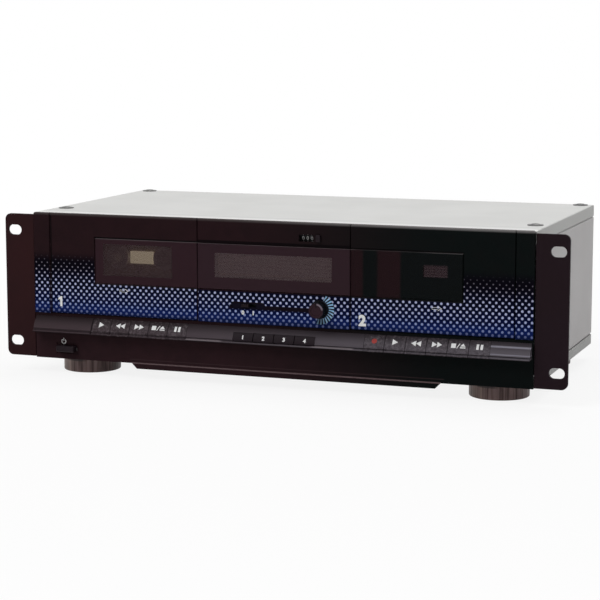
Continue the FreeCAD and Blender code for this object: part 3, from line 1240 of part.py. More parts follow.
def head_plate(side):
    """Sliding plate with its slots, the head on its bracket, a tape guide and the roller pin."""
    middle = side * MECHANISM_X
    y0 = HEAD_PLATE_Y
    y1 = y0 + HEAD_PLATE_SHEET
    left = middle - HEAD_PLATE_LEFT
    right = middle + HEAD_PLATE_RIGHT
    outline = [(left, HEAD_PLATE_BOTTOM), (right, HEAD_PLATE_BOTTOM), (right, HEAD_PLATE_STEP),
               (middle + 17, HEAD_PLATE_STEP), (middle + 14, HEAD_PLATE_TOP), (left, HEAD_PLATE_TOP)]
    parts = [plate_y(outline, y0, y1)]
    half = HEAD_WIDTH / 2
    head_base = HEAD_TOP - 8.2
    front = TAPE_MIDDLE_Y - HEAD_DEPTH / 2
    back = TAPE_MIDDLE_Y + HEAD_DEPTH / 2
    parts.append(box(middle - half - 3, middle + half + 1.2, front, y0, head_base - 0.9, head_base))
    crown = rod_y(middle, HEAD_TOP - half - 1.4, half + 1.4, front, back)
    block = box(middle - half, middle + half, front, back, head_base, HEAD_TOP)
    parts.append(crown.common(block))
    pin_front = TAPE_MIDDLE_Y - ROLLER_WIDTH / 2 - 0.6
    parts.append(rod_y(middle + CAPSTAN_X, roller_z(), ROLLER_PIN_R, pin_front, y0))
    if side > 0:
        parts.append(box(middle - 21, middle - 15, front + 1, y0, head_base - 0.9, HEAD_TOP - 1.2))
    else:
        parts.append(box(middle - 19, middle - 17, front + 1, y0, head_base - 0.9, HEAD_TOP - 1.2))
    cuts = []
    for x in slide_post_places():
        half = SLIDE_POST_R + 0.1
        cuts.append(box(middle + x - half, middle + x + half, y0 - 1, y1 + 1,
                        SLIDE_POST_Z - SLIDE_POST_R - HEAD_TRAVEL - 0.3, SLIDE_POST_Z + SLIDE_POST_R + 0.3))
    return joined(parts).cut(cuts)


def roller_z():
    """Rest height of the pinch roller, clear of the capstan by its travel."""
    return CAPSTAN_Z - CAPSTAN_R - ROLLER_R - SEAT_GAP - HEAD_TRAVEL


def pinch_roller(side):
    x = side * MECHANISM_X + CAPSTAN_X
    y0 = TAPE_MIDDLE_Y - ROLLER_WIDTH / 2
    y1 = TAPE_MIDDLE_Y + ROLLER_WIDTH / 2
    tyre = rod_y(x, roller_z(), ROLLER_R, y0 + 0.5, y1 - 0.5)
    sleeve = rod_y(x, roller_z(), 3, y0, y1)
    bore = rod_y(x, roller_z(), ROLLER_PIN_R + RUNNING, y0, y1)
    return joined([tyre, sleeve]).cut(bore)


def build():
    os.makedirs("parts", exist_ok=True)
    finish("front_panel", [front_panel()])
    finish("meter_window", [meter_window()])
    finish("rack_ear_left", [rack_ear(-1)])
    finish("rack_ear_right", [rack_ear(1)])
    finish("case_screws", case_screws())
    finish("top_cover", [top_cover()])
    finish("side_panel_left", [side_panel(-1)])
    finish("side_panel_right", [side_panel(1)])
    finish("bottom_tray", [bottom_tray()])
    finish("rear_panel", [rear_panel()])
    finish("line_jacks", line_jacks())
    finish("cord_gland", [cord_gland()])
    one_foot = foot()
    finish("feet", [one_foot.translated(FreeCAD.Vector(x, y, 0)) for x, y in foot_places()])
    finish("main_board", [main_board()])
    finish("front_board", [front_board()])
    finish("counter_frame", [counter_frame()])
    for place, name in enumerate(("hundreds", "tens", "units")):
        finish("counter_" + name, [counter_wheel(place)])
    finish("counter_reset", [counter_reset()])
    finish("mode_switch", [mode_switch()])
    finish("level_knob", [level_knob()])
    finish("power_button", [power_button()])
    for n, x in enumerate(button_middles()):
        finish("push_button_" + str(n + 1), [push_button(x)])
    names = ["record", "play", "rewind", "forward", "stop", "pause"]
    for deck, side in DECKS.items():
        for place, name in enumerate(names):
            if side > 0 or place > 0:
                finish("key_" + name + "_" + deck, [deck_key(side, place)])
        finish("door_front_" + deck, [door_front(side)])
        finish("door_window_" + deck, [door_window(side)])
        finish("cassette_holder_" + deck, [cassette_holder(side)])
        finish("supply_hub_" + deck, [reel_hub(side, -1)])
        finish("takeup_hub_" + deck, [reel_hub(side, 1)])
        finish("flywheel_" + deck, [flywheel(side)])
        finish("head_plate_" + deck, [head_plate(side)])
        finish("pinch_roller_" + deck, [pinch_roller(side)])
        finish("motor_pulley_" + deck, [motor_pulley(side)])
    finish("well_panels", [well_panel(side) for side in DECKS.values()])
    finish("deck_chassis", [deck_chassis(side) for side in DECKS.values()])
    finish("drive_motors", [drive_motor(side) for side in DECKS.values()])
    finish("drive_belts", [drive_belt(side) for side in DECKS.values()])


build()
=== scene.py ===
import math

import bmesh
import bpy
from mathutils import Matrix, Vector


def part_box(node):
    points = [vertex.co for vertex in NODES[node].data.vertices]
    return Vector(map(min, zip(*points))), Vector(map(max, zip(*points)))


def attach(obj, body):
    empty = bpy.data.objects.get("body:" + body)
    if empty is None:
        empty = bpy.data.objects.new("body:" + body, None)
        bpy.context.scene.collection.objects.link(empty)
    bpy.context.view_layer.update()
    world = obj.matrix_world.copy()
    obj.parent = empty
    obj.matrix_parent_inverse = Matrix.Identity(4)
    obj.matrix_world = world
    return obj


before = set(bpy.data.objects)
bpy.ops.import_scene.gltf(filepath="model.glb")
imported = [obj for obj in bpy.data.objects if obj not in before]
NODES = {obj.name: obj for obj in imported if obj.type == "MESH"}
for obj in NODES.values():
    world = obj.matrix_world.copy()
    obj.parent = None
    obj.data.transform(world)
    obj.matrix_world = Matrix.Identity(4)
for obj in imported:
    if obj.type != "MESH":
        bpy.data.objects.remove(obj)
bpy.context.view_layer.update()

MM = 0.001
DECKS = ("a", "b")

# The left rack ear gives the datum: its front face and its lower edge
EAR_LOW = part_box("rack_ear_left")[0]
DATUM = Vector((0, EAR_LOW.y, EAR_LOW.z))


def box(name):
    """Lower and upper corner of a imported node, in millimetres from the datum."""
    low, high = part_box(name)
    return (low - DATUM) / MM, (high - DATUM) / MM


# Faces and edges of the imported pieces, in millimetres from the datum
FACE = box("door_front_a")[0].y
PANEL_SIDE = box("front_panel")[1].x
PANEL_TOP = box("front_panel")[1].z
COVER_SIDE = box("top_cover")[1].x
LENS_SIDE = box("door_window_b")[1].x
LENS_TOP = box("door_window_b")[1].z
DOOR_INNER_EDGE = box("meter_window")[1].x
DOOR_OUTER_EDGE = box("cassette_holder_b")[1].x
KEYS_START = box("key_play_a")[0].x
KNOB_LOW, KNOB_HIGH = box("level_knob")
KNOB_ACROSS = (KNOB_LOW.x + KNOB_HIGH.x) / 2
KNOB_UP = (KNOB_LOW.z + KNOB_HIGH.z) / 2
FEET_ACROSS = 179.0

# Printed blue band: under the lenses it ends at one height, beside them it fades out higher up
BAND_FOOT = 37.9
BAND_TOP = 64.2
BAND_TOP_BESIDE = 90.0
BAND_SIDE = PANEL_SIDE - 0.4
LENS_ZONE = LENS_SIDE + 0.3

# Colours up the band, each as (from, to, colour there)
BLUE_AT_FOOT = (12, 24, 62)
BLUE_UPWARDS = ((39.0, 42.5, (14, 30, 84)), (42.5, 50.0, (4, 12, 50)), (50.0, 64.0, (4, 7, 29)),
                (64.0, 80.0, (6, 4, 13)))
# The dots are dimmer at the foot, a painted shadow of the ledge over them.
DOTS_AT_FOOT = (84, 92, 132)
DOTS_UPWARDS = ((38.5, 47.5, (142, 155, 200)), (46.0, 56.0, (174, 180, 214)), (62.0, 78.0, (162, 156, 172)))

# Staggered dots, with the first dot of the top row of each zone as (across, up)
DOT_STARTS = {"a": (-155.34, 63.5), "centre": (-60.58, 62.2), "b": (63.05, 62.7)}
DOT_PITCH = 5.17
DOT_ROW = 2.85
DOT_RADIUS_LOW = 1.02
DOT_RADIUS_HIGH = 0.45
DOT_SOFTNESS = 0.22

# Black strip from the slide switch to the knob, and the knob's printed scale
STRIP_LEFT = -37.5
STRIP_FOOT = 49.9
STRIP_TOP = 53.5
SCALE_RING = 7.7
SCALE_REACH = 12.2
SCALE_START = math.radians(66)
SCALE_END = math.radians(-105)
SCALE_TEETH = 27
SCALE_LEAN = 0.15

# Windows in the smoked lenses, as (left, right, foot, top)
WINDOW_A = (-150.0, -88.2, 72.0, 98.2)
WINDOW_B = (125.4, 145.3, 82.9, 92.4)
WINDOW_METER = (-50.2, 50.0, 75.0, 94.8)

# Pads behind the two reel windows: their sides and heights, and how far back they lie
PAD_INNER = 117.0
PAD_OUTER = 138.2
PAD_FOOT = 78.6
PAD_TOP = 90.0
PAD_DEEP = 27.6

# Ledge: its own span, the slope as three points (deep, up) of an arc, and its bead
LEDGE_FOOT = 20.0
LEDGE_TOP = 35.6
SLOPE_BROW = (-0.4, 35.2)
SLOPE_MIDDLE = (-4.6, 31.0)
SLOPE_FOOT = (-7.6, 24.6)
BEAD_FOOT = 22.9
BEAD_TOP = 24.0
# Stretches of the bead that take a painted highlight
BEAD_HIGHLIGHT_STRETCHES = ((-82, -43), (35, 70))

# Apron under the ledge: the lip along its lower edge, and a faint painted highlight line over the lip
LIP_FOOT = -1.05
LIP_TOP = 0.1
FAINT_LINE_FOOT = 2.1
FAINT_LINE_TOP = 2.7
FAINT_LINE_LEFT = -128.0
FAINT_LINE_RIGHT = 143.0

# Printed signs and numbers; INK is how far they stand off, spots are (across, up)
INK = 0.09
ICON_UP = 30.7
BUTTON_NUMBER_UP = 27.6
BUTTON_NUMBER_SIZE = 4.3
DECK_NUMBER_SPOTS = {"a": (-189.6, 48.3), "b": (75.8, 46.0)}
DECK_NUMBER_SIZE = 11.6
ARROW_SPOTS = {"a": (-131.5, 59.6), "b": (137.0, 58.7)}
SWITCH_MARK_SPOTS = {"0": (-25.8, 47.1), "1": (-16.9, 47.1)}
SWITCH_MARK_SIZE = 4.4
POWER_SIGN_SPOT = (-188.5, 14.0)

# Counter wheels: the digits lie slightly below the middle and further left on each wheel
WHEELS = ("counter_hundreds", "counter_tens", "counter_units")
WHEEL_RADIUS = (box(WHEELS[0])[1].z - box(WHEELS[0])[0].z) / 2
DIGIT_SIZE = 4.05
DIGIT_TURN = -0.08
DIGIT_SHIFT = 0.35

# Level display: two rows of segments, each over a thin line
SEGMENT_ROWS = (88.6, 80.4)
SEGMENT_COUNT = 14
SEGMENT_START = -31.2
SEGMENT_PITCH = 5.0
SEGMENT_WIDTH = 3.6
SEGMENT_HEIGHT = 2.2
SEGMENT_THICKNESS = 0.3
DISPLAY_FACE = 5.0
DISPLAY_SIDE = 52.0

# Where the parts on the two boards begin
MAIN_BOARD_TOP = 10.8
FRONT_BOARD_FACE = 12.8

# Rings round the line jacks, from the middle of the jack plates
JACK_ACROSS = 21.0
JACK_UP = {"white": 7.0, "red": -7.0}
JACK_FACE = 223.5
RING_RADIUS = 5.9
RING_BORE = 4.3
RING_THICKNESS = 0.7


def place(across, deep, up):
    """A point given in millimetres from the datum, in metres in the frame."""
    return DATUM + Vector((across, deep, up)) * MM


def shade(red, green, blue):
    """A colour as it looks on screen, 0 to 255, as the linear colour that a shader takes."""
    parts = []
    for part in (red, green, blue):
        part = part / 255
        parts.append(part / 12.92 if part <= 0.04045 else ((part + 0.055) / 1.055) ** 2.4)
    return (*parts, 1.0)


class Value:
    """One number or colour in a finish; arithmetic on it adds Math nodes."""

    def __init__(self, finish, socket):
        self.finish = finish
        self.socket = socket

    def __add__(self, other):
        return self.finish.math("ADD", self, other)

    def __radd__(self, other):
        return self.finish.math("ADD", other, self)

    def __sub__(self, other):
        return self.finish.math("SUBTRACT", self, other)

    def __rsub__(self, other):
        return self.finish.math("SUBTRACT", other, self)

    def __mul__(self, other):
        return self.finish.math("MULTIPLY", self, other)

    def __rmul__(self, other):
        return self.finish.math("MULTIPLY", other, self)

    def __truediv__(self, other):
        return self.finish.math("DIVIDE", self, other)

    def __rtruediv__(self, other):
        return self.finish.math("DIVIDE", other, self)


class Finish:
    """A material made of a Principled shader and what its nodes feed it."""

    def __init__(self, name, **fixed):
        self.material = bpy.data.materials.new(name)
        self.material.use_nodes = True
        self.tree = self.material.node_tree
        self.tree.nodes.clear()
        self.output = self.tree.nodes.new("ShaderNodeOutputMaterial")
        self.shader = self.tree.nodes.new("ShaderNodeBsdfPrincipled")
        self.tree.links.new(self.shader.outputs[0], self.output.inputs["Surface"])
        for socket, value in fixed.items():
            self.shader.inputs[socket.replace("_", " ")].default_value = value
        self.spot = self.node("ShaderNodeTexCoord", {}, {}, "Object")
        self.across = self.axis("X", DATUM.x)
        self.deep = self.axis("Y", DATUM.y)
        self.up = self.axis("Z", DATUM.z)

    def node(self, kind, settings, inputs, output=0):
        """A node of that kind: its settings first, then what its sockets take."""
        made = self.tree.nodes.new(kind)
        for name, value in settings.items():
            setattr(made, name, value)
        for key, value in inputs.items():
            if isinstance(value, Value):
                self.tree.links.new(value.socket, made.inputs[key])
            else:
                made.inputs[key].default_value = value
        return Value(self, made.outputs[output])

    def math(self, operation, *values):
        """A Math node on one or more numbers."""
        return self.node("ShaderNodeMath", {"operation": operation}, dict(enumerate(values)))

    def axis(self, name, start):
        """Distance along one axis from the datum, in millimetres."""
        part = self.node("ShaderNodeSeparateXYZ", {}, {"Vector": self.spot}, name)
        return (part - start) / MM

    def length(self, first, second):
        """Length of a line that goes first one way and second at right angles to it."""
        return self.math("SQRT", first * first + second * second)

    def either(self, mask, *others):
        """The largest of several masks at each point."""
        for other in others:
            mask = self.math("MAXIMUM", mask, other)
        return mask

    def mix(self, share, first, second):
        """Colour first where share is 0, second where it is 1."""
        return self.node("ShaderNodeMix", {"data_type": "RGBA"}, {0: share, 6: first, 7: second}, 2)

    def step(self, value, low, high):
        """0 below low and 1 above high, smooth between; the other way round if low is above high."""
        if low > high:
            return 1 - self.step(value, high, low)
        return self.node("ShaderNodeMapRange", {"interpolation_type": "SMOOTHSTEP"},
                         {"Value": value, "From Min": low, "From Max": high})

    def band(self, value, low, high, soft=0.12):
        """1 between low and high."""
        return self.step(value, low - soft, low + soft) * self.step(value, high + soft, high - soft)

    def noise(self, size, detail=2.0, rough=0.5, stretch=None):
        """Cloudy 0 to 1 pattern with features of about size millimetres."""
        spot = self.spot
        if stretch:
            spot = self.node("ShaderNodeMapping", {}, {"Vector": spot, "Scale": stretch})
        return self.node("ShaderNodeTexNoise", {}, {"Vector": spot, "Scale": 1 / (size * MM),
                                                    "Detail": detail, "Roughness": rough}, "Fac")

    def specks(self, size):
        """Distance to the nearest of scattered points, for sprayed grain and spangle."""
        return self.node("ShaderNodeTexVoronoi", {}, {"Vector": self.spot, "Scale": 1 / (size * MM)},
                         "Distance")

    def clouds(self, first, second, size=60):
        """Two close shades in soft clouds of about size millimetres."""
        return self.mix(self.step(self.noise(size, 2), 0.3, 0.7), first, second)

    def bump(self, height, depth, strength=1.0):
        """Normal of a surface whose height runs from 0 to depth millimetres."""
        return self.node("ShaderNodeBump", {}, {"Height": height, "Distance": depth * MM,
                                                "Strength": strength}, "Normal")

    def feed(self, **sockets):
        """Links or sets the shader's sockets, and gives the material."""
        for name, value in sockets.items():
            socket = self.shader.inputs[name.replace("_", " ")]
            if isinstance(value, Value):
                self.tree.links.new(value.socket, socket)
            else:
                socket.default_value = value
        return self.material

    def feed_grained(self, colour, grain, roughness, spread, depth, strength, **more):
        """Feeds a colour and a grain that varies the roughness and stands depth millimetres high."""
        return self.feed(Base_Color=colour, Roughness=roughness + spread * grain,
                         Normal=self.bump(grain, depth, strength), **more)


def blend(share, first, second):
    """Number first where share is 0, second where it is 1."""
    return first + share * (second - first)


def fade_up(finish, foot, stops):
    """A colour at the foot that turns into each stop's colour over that stop's stretch of height."""
    colour = shade(*foot)
    for low, high, tone in stops:
        colour = finish.mix(finish.step(finish.up, low, high), colour, shade(*tone))
    return colour


def fascia_zones(finish):
    """Masks of the left door, of the right door, and of the ends beside the lenses."""
    left = finish.step(finish.across, 0.1 - DOOR_INNER_EDGE, -0.1 - DOOR_INNER_EDGE)
    right = finish.step(finish.across, DOOR_INNER_EDGE - 0.1, DOOR_INNER_EDGE + 0.1)
    side = finish.math("ABSOLUTE", finish.across)
    beside = finish.step(side, LENS_ZONE - 0.2, LENS_ZONE + 0.2)
    return left, right, beside


def dot_mask(finish, start, radius):
    """Staggered round dots, from the first dot of the top row down."""
    first_across, first_up = start
    row = (first_up - finish.up) / DOT_ROW
    index = finish.math("ROUND", row)
    stagger = finish.math("PINGPONG", index, 1.0) / 2
    column = (finish.across - first_across) / DOT_PITCH + stagger
    left = (column - finish.math("ROUND", column)) * DOT_PITCH
    down = (row - index) * DOT_ROW
    return finish.step(finish.length(left, down) - radius, DOT_SOFTNESS, -DOT_SOFTNESS)


def band_dots(finish, left, right, beside):
    """Dots of the doors and of the middle, each from its own start, shrinking upwards."""
    radius = blend(finish.step(finish.up, 58, 90), DOT_RADIUS_LOW, DOT_RADIUS_HIGH)
    masks = {}
    for zone, start in DOT_STARTS.items():
        first_row = finish.step(finish.up, start[1] + 1.5, start[1] + 1.4)
        masks[zone] = dot_mask(finish, start, radius) * blend(beside, first_row, 1.0)
    return masks["a"] * left + masks["b"] * right + masks["centre"] * (1 - left) * (1 - right)


def from_knob(finish):
    """Distance from the knob's axis, and the angle round it."""
    left = finish.across - KNOB_ACROSS
    high = finish.up - KNOB_UP
    return finish.length(left, high), finish.math("ARCTAN2", high, left)


def knob_scale(finish):
    """Masks of the fine radial teeth right of the knob, of the black disc, and of the teeth's arc."""
    distance, angle = from_knob(finish)
    teeth = finish.math("PINGPONG", angle * (SCALE_TEETH / math.pi) + distance * SCALE_LEAN, 1.0)
    arc = finish.band(distance, SCALE_RING, SCALE_REACH, 0.3)
    arc = arc * finish.band(angle, SCALE_END, SCALE_START, 0.15)
    strong = finish.step(angle, math.radians(-95), math.radians(-40))
    disc = finish.step(distance, SCALE_RING + 0.3, SCALE_RING - 0.3)
    return arc * finish.step(teeth, 0.35, 0.65) * (0.3 + 0.7 * strong), disc, arc


def blue_band(finish, left, right, beside):
    """Dots on blue that darkens upwards, round the black strip, the knob's disc and its scale."""
    teeth, disc, arc = knob_scale(finish)
    strip = finish.band(finish.up, STRIP_FOOT, STRIP_TOP, 0.4)
    strip = strip * finish.band(finish.across, STRIP_LEFT, KNOB_ACROSS, 0.5)
    open_face = (1 - disc) * (1 - arc) * (1 - strip)
    band = finish.mix(open_face, shade(19, 13, 22), fade_up(finish, BLUE_AT_FOOT, BLUE_UPWARDS))
    fade = finish.step(finish.up + finish.step(finish.across, 0, 150) * 2.5, 91, 67)
    dots = band_dots(finish, left, right, beside) * open_face * blend(beside, 1.0, fade)
    band = finish.mix(dots, band, fade_up(finish, DOTS_AT_FOOT, DOTS_UPWARDS))
    teeth_blue = finish.mix(finish.noise(3, 2), shade(112, 176, 222), shade(186, 214, 236))
    return finish.mix(teeth, band, teeth_blue)


def band_mask(finish, face, beside):
    """Where the blue band is printed on the face."""
    side = finish.math("ABSOLUTE", finish.across)
    inside = finish.step(finish.up, BAND_FOOT - 0.1, BAND_FOOT + 0.1)
    inside = inside * finish.step(side, BAND_SIDE + 0.2, BAND_SIDE - 0.2)
    under_lens = finish.step(finish.up, BAND_TOP + 0.5, BAND_TOP - 0.5)
    fade = finish.step(finish.up, BAND_TOP_BESIDE + 1, BAND_TOP_BESIDE - 9)
    return face * inside * blend(beside, under_lens, fade)


def gloss_black(finish, reflection_lean, mottle):
    """Black of the moulding with a painted reflection: brownish at the left, greenish at the right, paler
    near its lower edge at the left.
    """
    black = finish.mix(reflection_lean, shade(38, 23, 26), shade(12, 17, 17))
    # Painted reflection, paler near the lower edge at the left.
    low = finish.step(finish.up, 22, 18) * (1 - reflection_lean)
    black = finish.mix(low * 0.5, black, shade(52, 34, 38))
    return finish.mix(finish.step(mottle, 0.35, 0.75) * 0.25, black, shade(21, 17, 19))


def dark_gaps(finish, left, right):
    """Mask of painted shade in the gaps over the lenses and in the seam beside the left door."""
    side = finish.math("ABSOLUTE", finish.across)
    over_doors = finish.band(finish.up, LENS_TOP + 0.1, LENS_TOP + 1.3)
    over_meter = finish.band(finish.up, LENS_TOP + 1, LENS_TOP + 2.6) * (1 - left) * (1 - right)
    over_lens = finish.either(over_doors, over_meter) * finish.step(side, LENS_ZONE + 0.2, LENS_ZONE - 0.2)
    seam = finish.band(finish.across, 0.6 - DOOR_OUTER_EDGE, 1.7 - DOOR_OUTER_EDGE, 0.2)
    return finish.either(over_lens, seam * finish.step(finish.up, BAND_FOOT - 0.3, BAND_FOOT + 0.1))


def worn_edges(finish, colour, reflection_lean, mottle):
    """Painted highlights on the rolled top edge, on the apron's lip and in a faint line over the lip."""
    # Painted highlight on the rolled top edge, stronger at the right.
    rolled = finish.mix(reflection_lean, shade(66, 58, 58), shade(115, 112, 112))
    colour = finish.mix(finish.step(finish.up, PANEL_TOP - 2.7, PANEL_TOP - 0.7), colour, rolled)
    # Painted highlight on the apron's lip, mottled.
    lip = finish.band(finish.up, LIP_FOOT, LIP_TOP, 0.15) * finish.step(finish.deep, -0.02, -0.1)
    colour = finish.mix(lip, colour, finish.mix(mottle, shade(90, 72, 74), shade(112, 96, 98)))
    # Faint painted highlight line over the lip.
    faint_line = finish.band(finish.up, FAINT_LINE_FOOT, FAINT_LINE_TOP, 0.3) * finish.step(finish.deep, 0.1, 0.05)
    faint_line = faint_line * finish.band(finish.across, FAINT_LINE_LEFT, FAINT_LINE_RIGHT, 1)
    return finish.mix(faint_line * 0.6, colour, shade(62, 48, 50))


def ledge_mask(finish):
    """Mask of the ledge, without the flat face over its brow."""
    ledge = finish.step(finish.deep, -0.15, -0.3) * finish.band(finish.up, LEDGE_FOOT, LEDGE_TOP, 0.1)
    ledge = ledge * finish.step(finish.deep, -1.6, -1.7) + ledge * finish.step(finish.up, 36.0, 35.5)
    return finish.math("MINIMUM", ledge, 1.0)


def ledge_wear(finish, colour, ledge):
    """Painted highlights on the ledge: along two stretches of its bead, and on creases right of the keys.
    """
    bead_highlight = finish.either(*[finish.band(finish.across, start, end, 2) for start, end in BEAD_HIGHLIGHT_STRETCHES])
    bead_highlight = ledge * bead_highlight * finish.band(finish.up, 23.3, 24.3, 0.2)
    colour = finish.mix(bead_highlight * 0.6, colour, shade(150, 140, 144))
    crease = finish.band(finish.up, 31.2, 32.4, 0.4) + 0.8 * finish.band(finish.up, 25.7, 26.5, 0.3)
    beyond_keys = finish.step(finish.across, 160, 190)
    return finish.mix(ledge * beyond_keys * crease * 0.8, colour, shade(150, 148, 160))


def rightwards(finish):
    """0 at the left end of the front and 1 at the right end."""
    return finish.step(finish.across, -230, 230)


def charcoal(finish, grain):
    """Colour of the ledge and keys with painted light: paler towards the foot as painted shade darkens the
    top, paler towards the right as painted reflection, and dark with painted shade in the grooves, under
    the bead and in the seam left of the keys.
    """
    # Painted shade: the top, which faces the light, is darker than the foot.
    wear_and_shade = finish.step(finish.up, 36.0, 26.0)
    right = rightwards(finish)
    # Painted reflection: paler towards the right.
    top = finish.mix(right, shade(40, 32, 34), shade(56, 51, 56))
    low = finish.mix(right, shade(69, 57, 61), shade(99, 94, 101))
    colour = finish.mix(grain * 0.2, finish.mix(wear_and_shade, top, low), shade(30, 26, 28))
    groove = finish.band(finish.up + right * 0.6, 24.8, 25.5, 0.2)
    under = finish.step(finish.up, 23.1, 22.7)
    seam = finish.band(finish.across, KEYS_START - 0.9, KEYS_START + 0.5, 0.2)
    # Painted shade in the grooves, under the bead and in the seam left of the keys.
    dark = finish.either(groove * 0.7, under * 0.85, seam * 0.7)
    return finish.mix(dark, colour, shade(20, 15, 17))


def edge_light(finish):
    """1 on the narrow bevels that face up and forward, 0 on flat faces."""
    normal = finish.node("ShaderNodeNewGeometry", {}, {}, "Normal")
    rise = finish.node("ShaderNodeSeparateXYZ", {}, {"Vector": normal}, "Z")
    return finish.band(finish.math("ABSOLUTE", rise), 0.3, 0.9, 0.05)


def printed_fascia():
    """Gloss black moulding with its printed blue band and charcoal ledge, a painted reflection, painted
    highlights on its edges and ledge, and painted shade in its gaps.
    """
    finish = Finish("printed_fascia", Specular_IOR_Level=0.018, Coat_Roughness=0.08)
    left, right, beside = fascia_zones(finish)
    face = finish.either(finish.step(finish.deep, FACE + 0.35, FACE + 0.1),
                         finish.band(finish.across, DOOR_OUTER_EDGE - 0.3, DOOR_OUTER_EDGE + 0.2))
    mottle = finish.noise(14, 3)
    # Share of the painted reflection from left to right, on the black and in the highlight on the top edge.
    reflection_lean = finish.step(finish.across, -60, 150)
    colour = finish.mix(band_mask(finish, face, beside), gloss_black(finish, reflection_lean, mottle),
                        blue_band(finish, left, right, beside))
    switch_pit = finish.band(finish.up, STRIP_FOOT - 1.5, STRIP_TOP + 1.5, 0.4)
    switch_pit = switch_pit * finish.band(finish.across, STRIP_LEFT - 2, 0, 0.5) * (1 - face)
    colour = finish.mix(switch_pit, colour, shade(19, 16, 29))
    # Painted shade in the gaps over the lenses and in the seam beside the left door.
    colour = finish.mix(dark_gaps(finish, left, right) * 0.85, colour, shade(9, 6, 8))
    colour = worn_edges(finish, colour, reflection_lean, mottle)
    ledge = ledge_mask(finish)
    grain = finish.noise(0.5, 3)
    colour = ledge_wear(finish, finish.mix(ledge, colour, charcoal(finish, grain)), ledge)
    bead = finish.band(finish.up, BEAD_FOOT, BEAD_TOP, 0.2) * finish.step(finish.deep, -7.6, -8.0)
    gloss = blend(ledge, edge_light(finish) * 0.5, bead * finish.step(finish.across, -150, 0) * 0.3)
    roughness = blend(ledge, 0.16 + 0.1 * mottle, 0.38 + 0.12 * grain)
    height = blend(ledge, finish.noise(5, 1) * 0.25, grain)
    return finish.feed(Base_Color=colour, Roughness=roughness, Coat_Weight=gloss,
                       Normal=finish.bump(height, 0.02, 0.5))


def key_charcoal():
    """Fine spark-eroded grain on charcoal keys, in blotches."""
    finish = Finish("key_charcoal", Specular_IOR_Level=0.05, Coat_Roughness=0.25)
    grain = finish.noise(0.5, 3)
    cloud = finish.noise(2.2, 3, 0.7)
    colour = finish.mix(finish.step(cloud, 0.6, 0.35) * 0.5, charcoal(finish, grain), shade(36, 28, 31))
    colour = finish.mix(finish.step(cloud, 0.5, 0.75) * 0.5, colour, shade(112, 102, 106))
    return finish.feed_grained(colour, grain, 0.36, 0.14, 0.03, 0.6)


def smoked_lens(name, window, tint, inner, stripes=()):
    """Smoked clear plastic, darker outside its window, with faint warm upright stripes and a painted
    highlight along its top edge.
    """
    finish = Finish(name, Specular_IOR_Level=0.04, Coat_Roughness=0.04)
    left, right, foot, top = window
    clear = finish.band(finish.across, left, right, 0.3) * finish.band(finish.up, foot, top, 0.3)
    haze = finish.noise(6, 4, 0.6)
    scratch = finish.noise(1.2, 2, 0.5, (0.15, 1, 6))
    smoke = finish.mix(clear, tint, inner)
    colour = smoke
    for start, end in stripes:
        warm = finish.band(finish.across, start, end, 1.2)
        colour = finish.mix(warm * (0.6 + 0.4 * haze), colour, shade(37, 18, 22))
    colour = finish.mix(finish.step(haze, 0.4, 0.8) * 0.2, colour, smoke)
    calm = 1 - 0.65 * finish.band(finish.across, 66, 128, 8)
    # Painted highlight along the top edge, weaker over part of the right lens.
    rim = finish.step(finish.up, LENS_TOP - 0.55, LENS_TOP - 0.3) * calm
    colour = finish.mix(rim * (0.15 + 0.4 * haze), colour, shade(120, 112, 114))
    return finish.feed(Base_Color=colour, Roughness=0.08 + 0.1 * scratch,
                       Alpha=blend(clear, 0.97, 0.66) + 0.01 * haze,
                       Coat_Weight=edge_light(finish) * calm * 0.85)


def tray_paint():
    """Sprayed grey of the bottom tray and the rear panel, with small specks."""
    finish = Finish("tray_grey", Specular_IOR_Level=0.4)
    dark = shade(165, 165, 164)
    colour = finish.clouds(dark, shade(171, 171, 169))
    colour = finish.mix(finish.step(finish.specks(1.1), 0.16, 0.05) * 0.35, colour, dark)
    return finish.feed_grained(colour, finish.noise(0.7, 3), 0.45, 0.12, 0.03, 0.7)


def cover_paint():
    """Pale grey paint of the cover, with painted light: brighter towards the front, a painted highlight on
    the bent lip in front, a darker band further back, and painted shade on the greyer folds at the sides.
    """
    finish = Finish("cover_grey", Specular_IOR_Level=0.4)
    peel = finish.noise(0.7, 3)
    colour = finish.clouds(shade(197, 197, 195), shade(203, 203, 201))
    # Painted light on the front part, and a painted highlight on the bent lip.
    colour = finish.mix(finish.step(finish.deep, 19, 17), colour, shade(208, 208, 206))
    colour = finish.mix(finish.step(finish.deep, 8.5, 6.5), colour, shade(236, 236, 234))
    colour = finish.mix(finish.band(finish.deep, 19.5, 23.5, 1), colour, shade(190, 190, 188))
    # Painted shade on the folds at the sides.
    fold = finish.step(finish.math("ABSOLUTE", finish.across), COVER_SIDE - 0.3, COVER_SIDE - 0.05)
    colour = finish.mix(fold, colour, finish.mix(peel, shade(170, 170, 168), shade(186, 186, 184)))
    return finish.feed_grained(colour, peel, 0.4, 0.12, 0.03, 0.7)


def side_paint():
    """The cover's grey made darker as painted shade on the side panels, with a painted highlight on the
    bend over the bottom tray.
    """
    finish = Finish("side_grey_shaded", Specular_IOR_Level=0.4)
    colour = finish.clouds(shade(179, 176, 176), shade(186, 183, 183))
    # Painted highlight on the bend over the bottom tray.
    colour = finish.mix(finish.band(finish.up, 1.9, 3.0, 0.3) * 0.7, colour, shade(236, 236, 236))
    return finish.feed_grained(colour, finish.noise(0.7, 3), 0.4, 0.12, 0.03, 0.7)


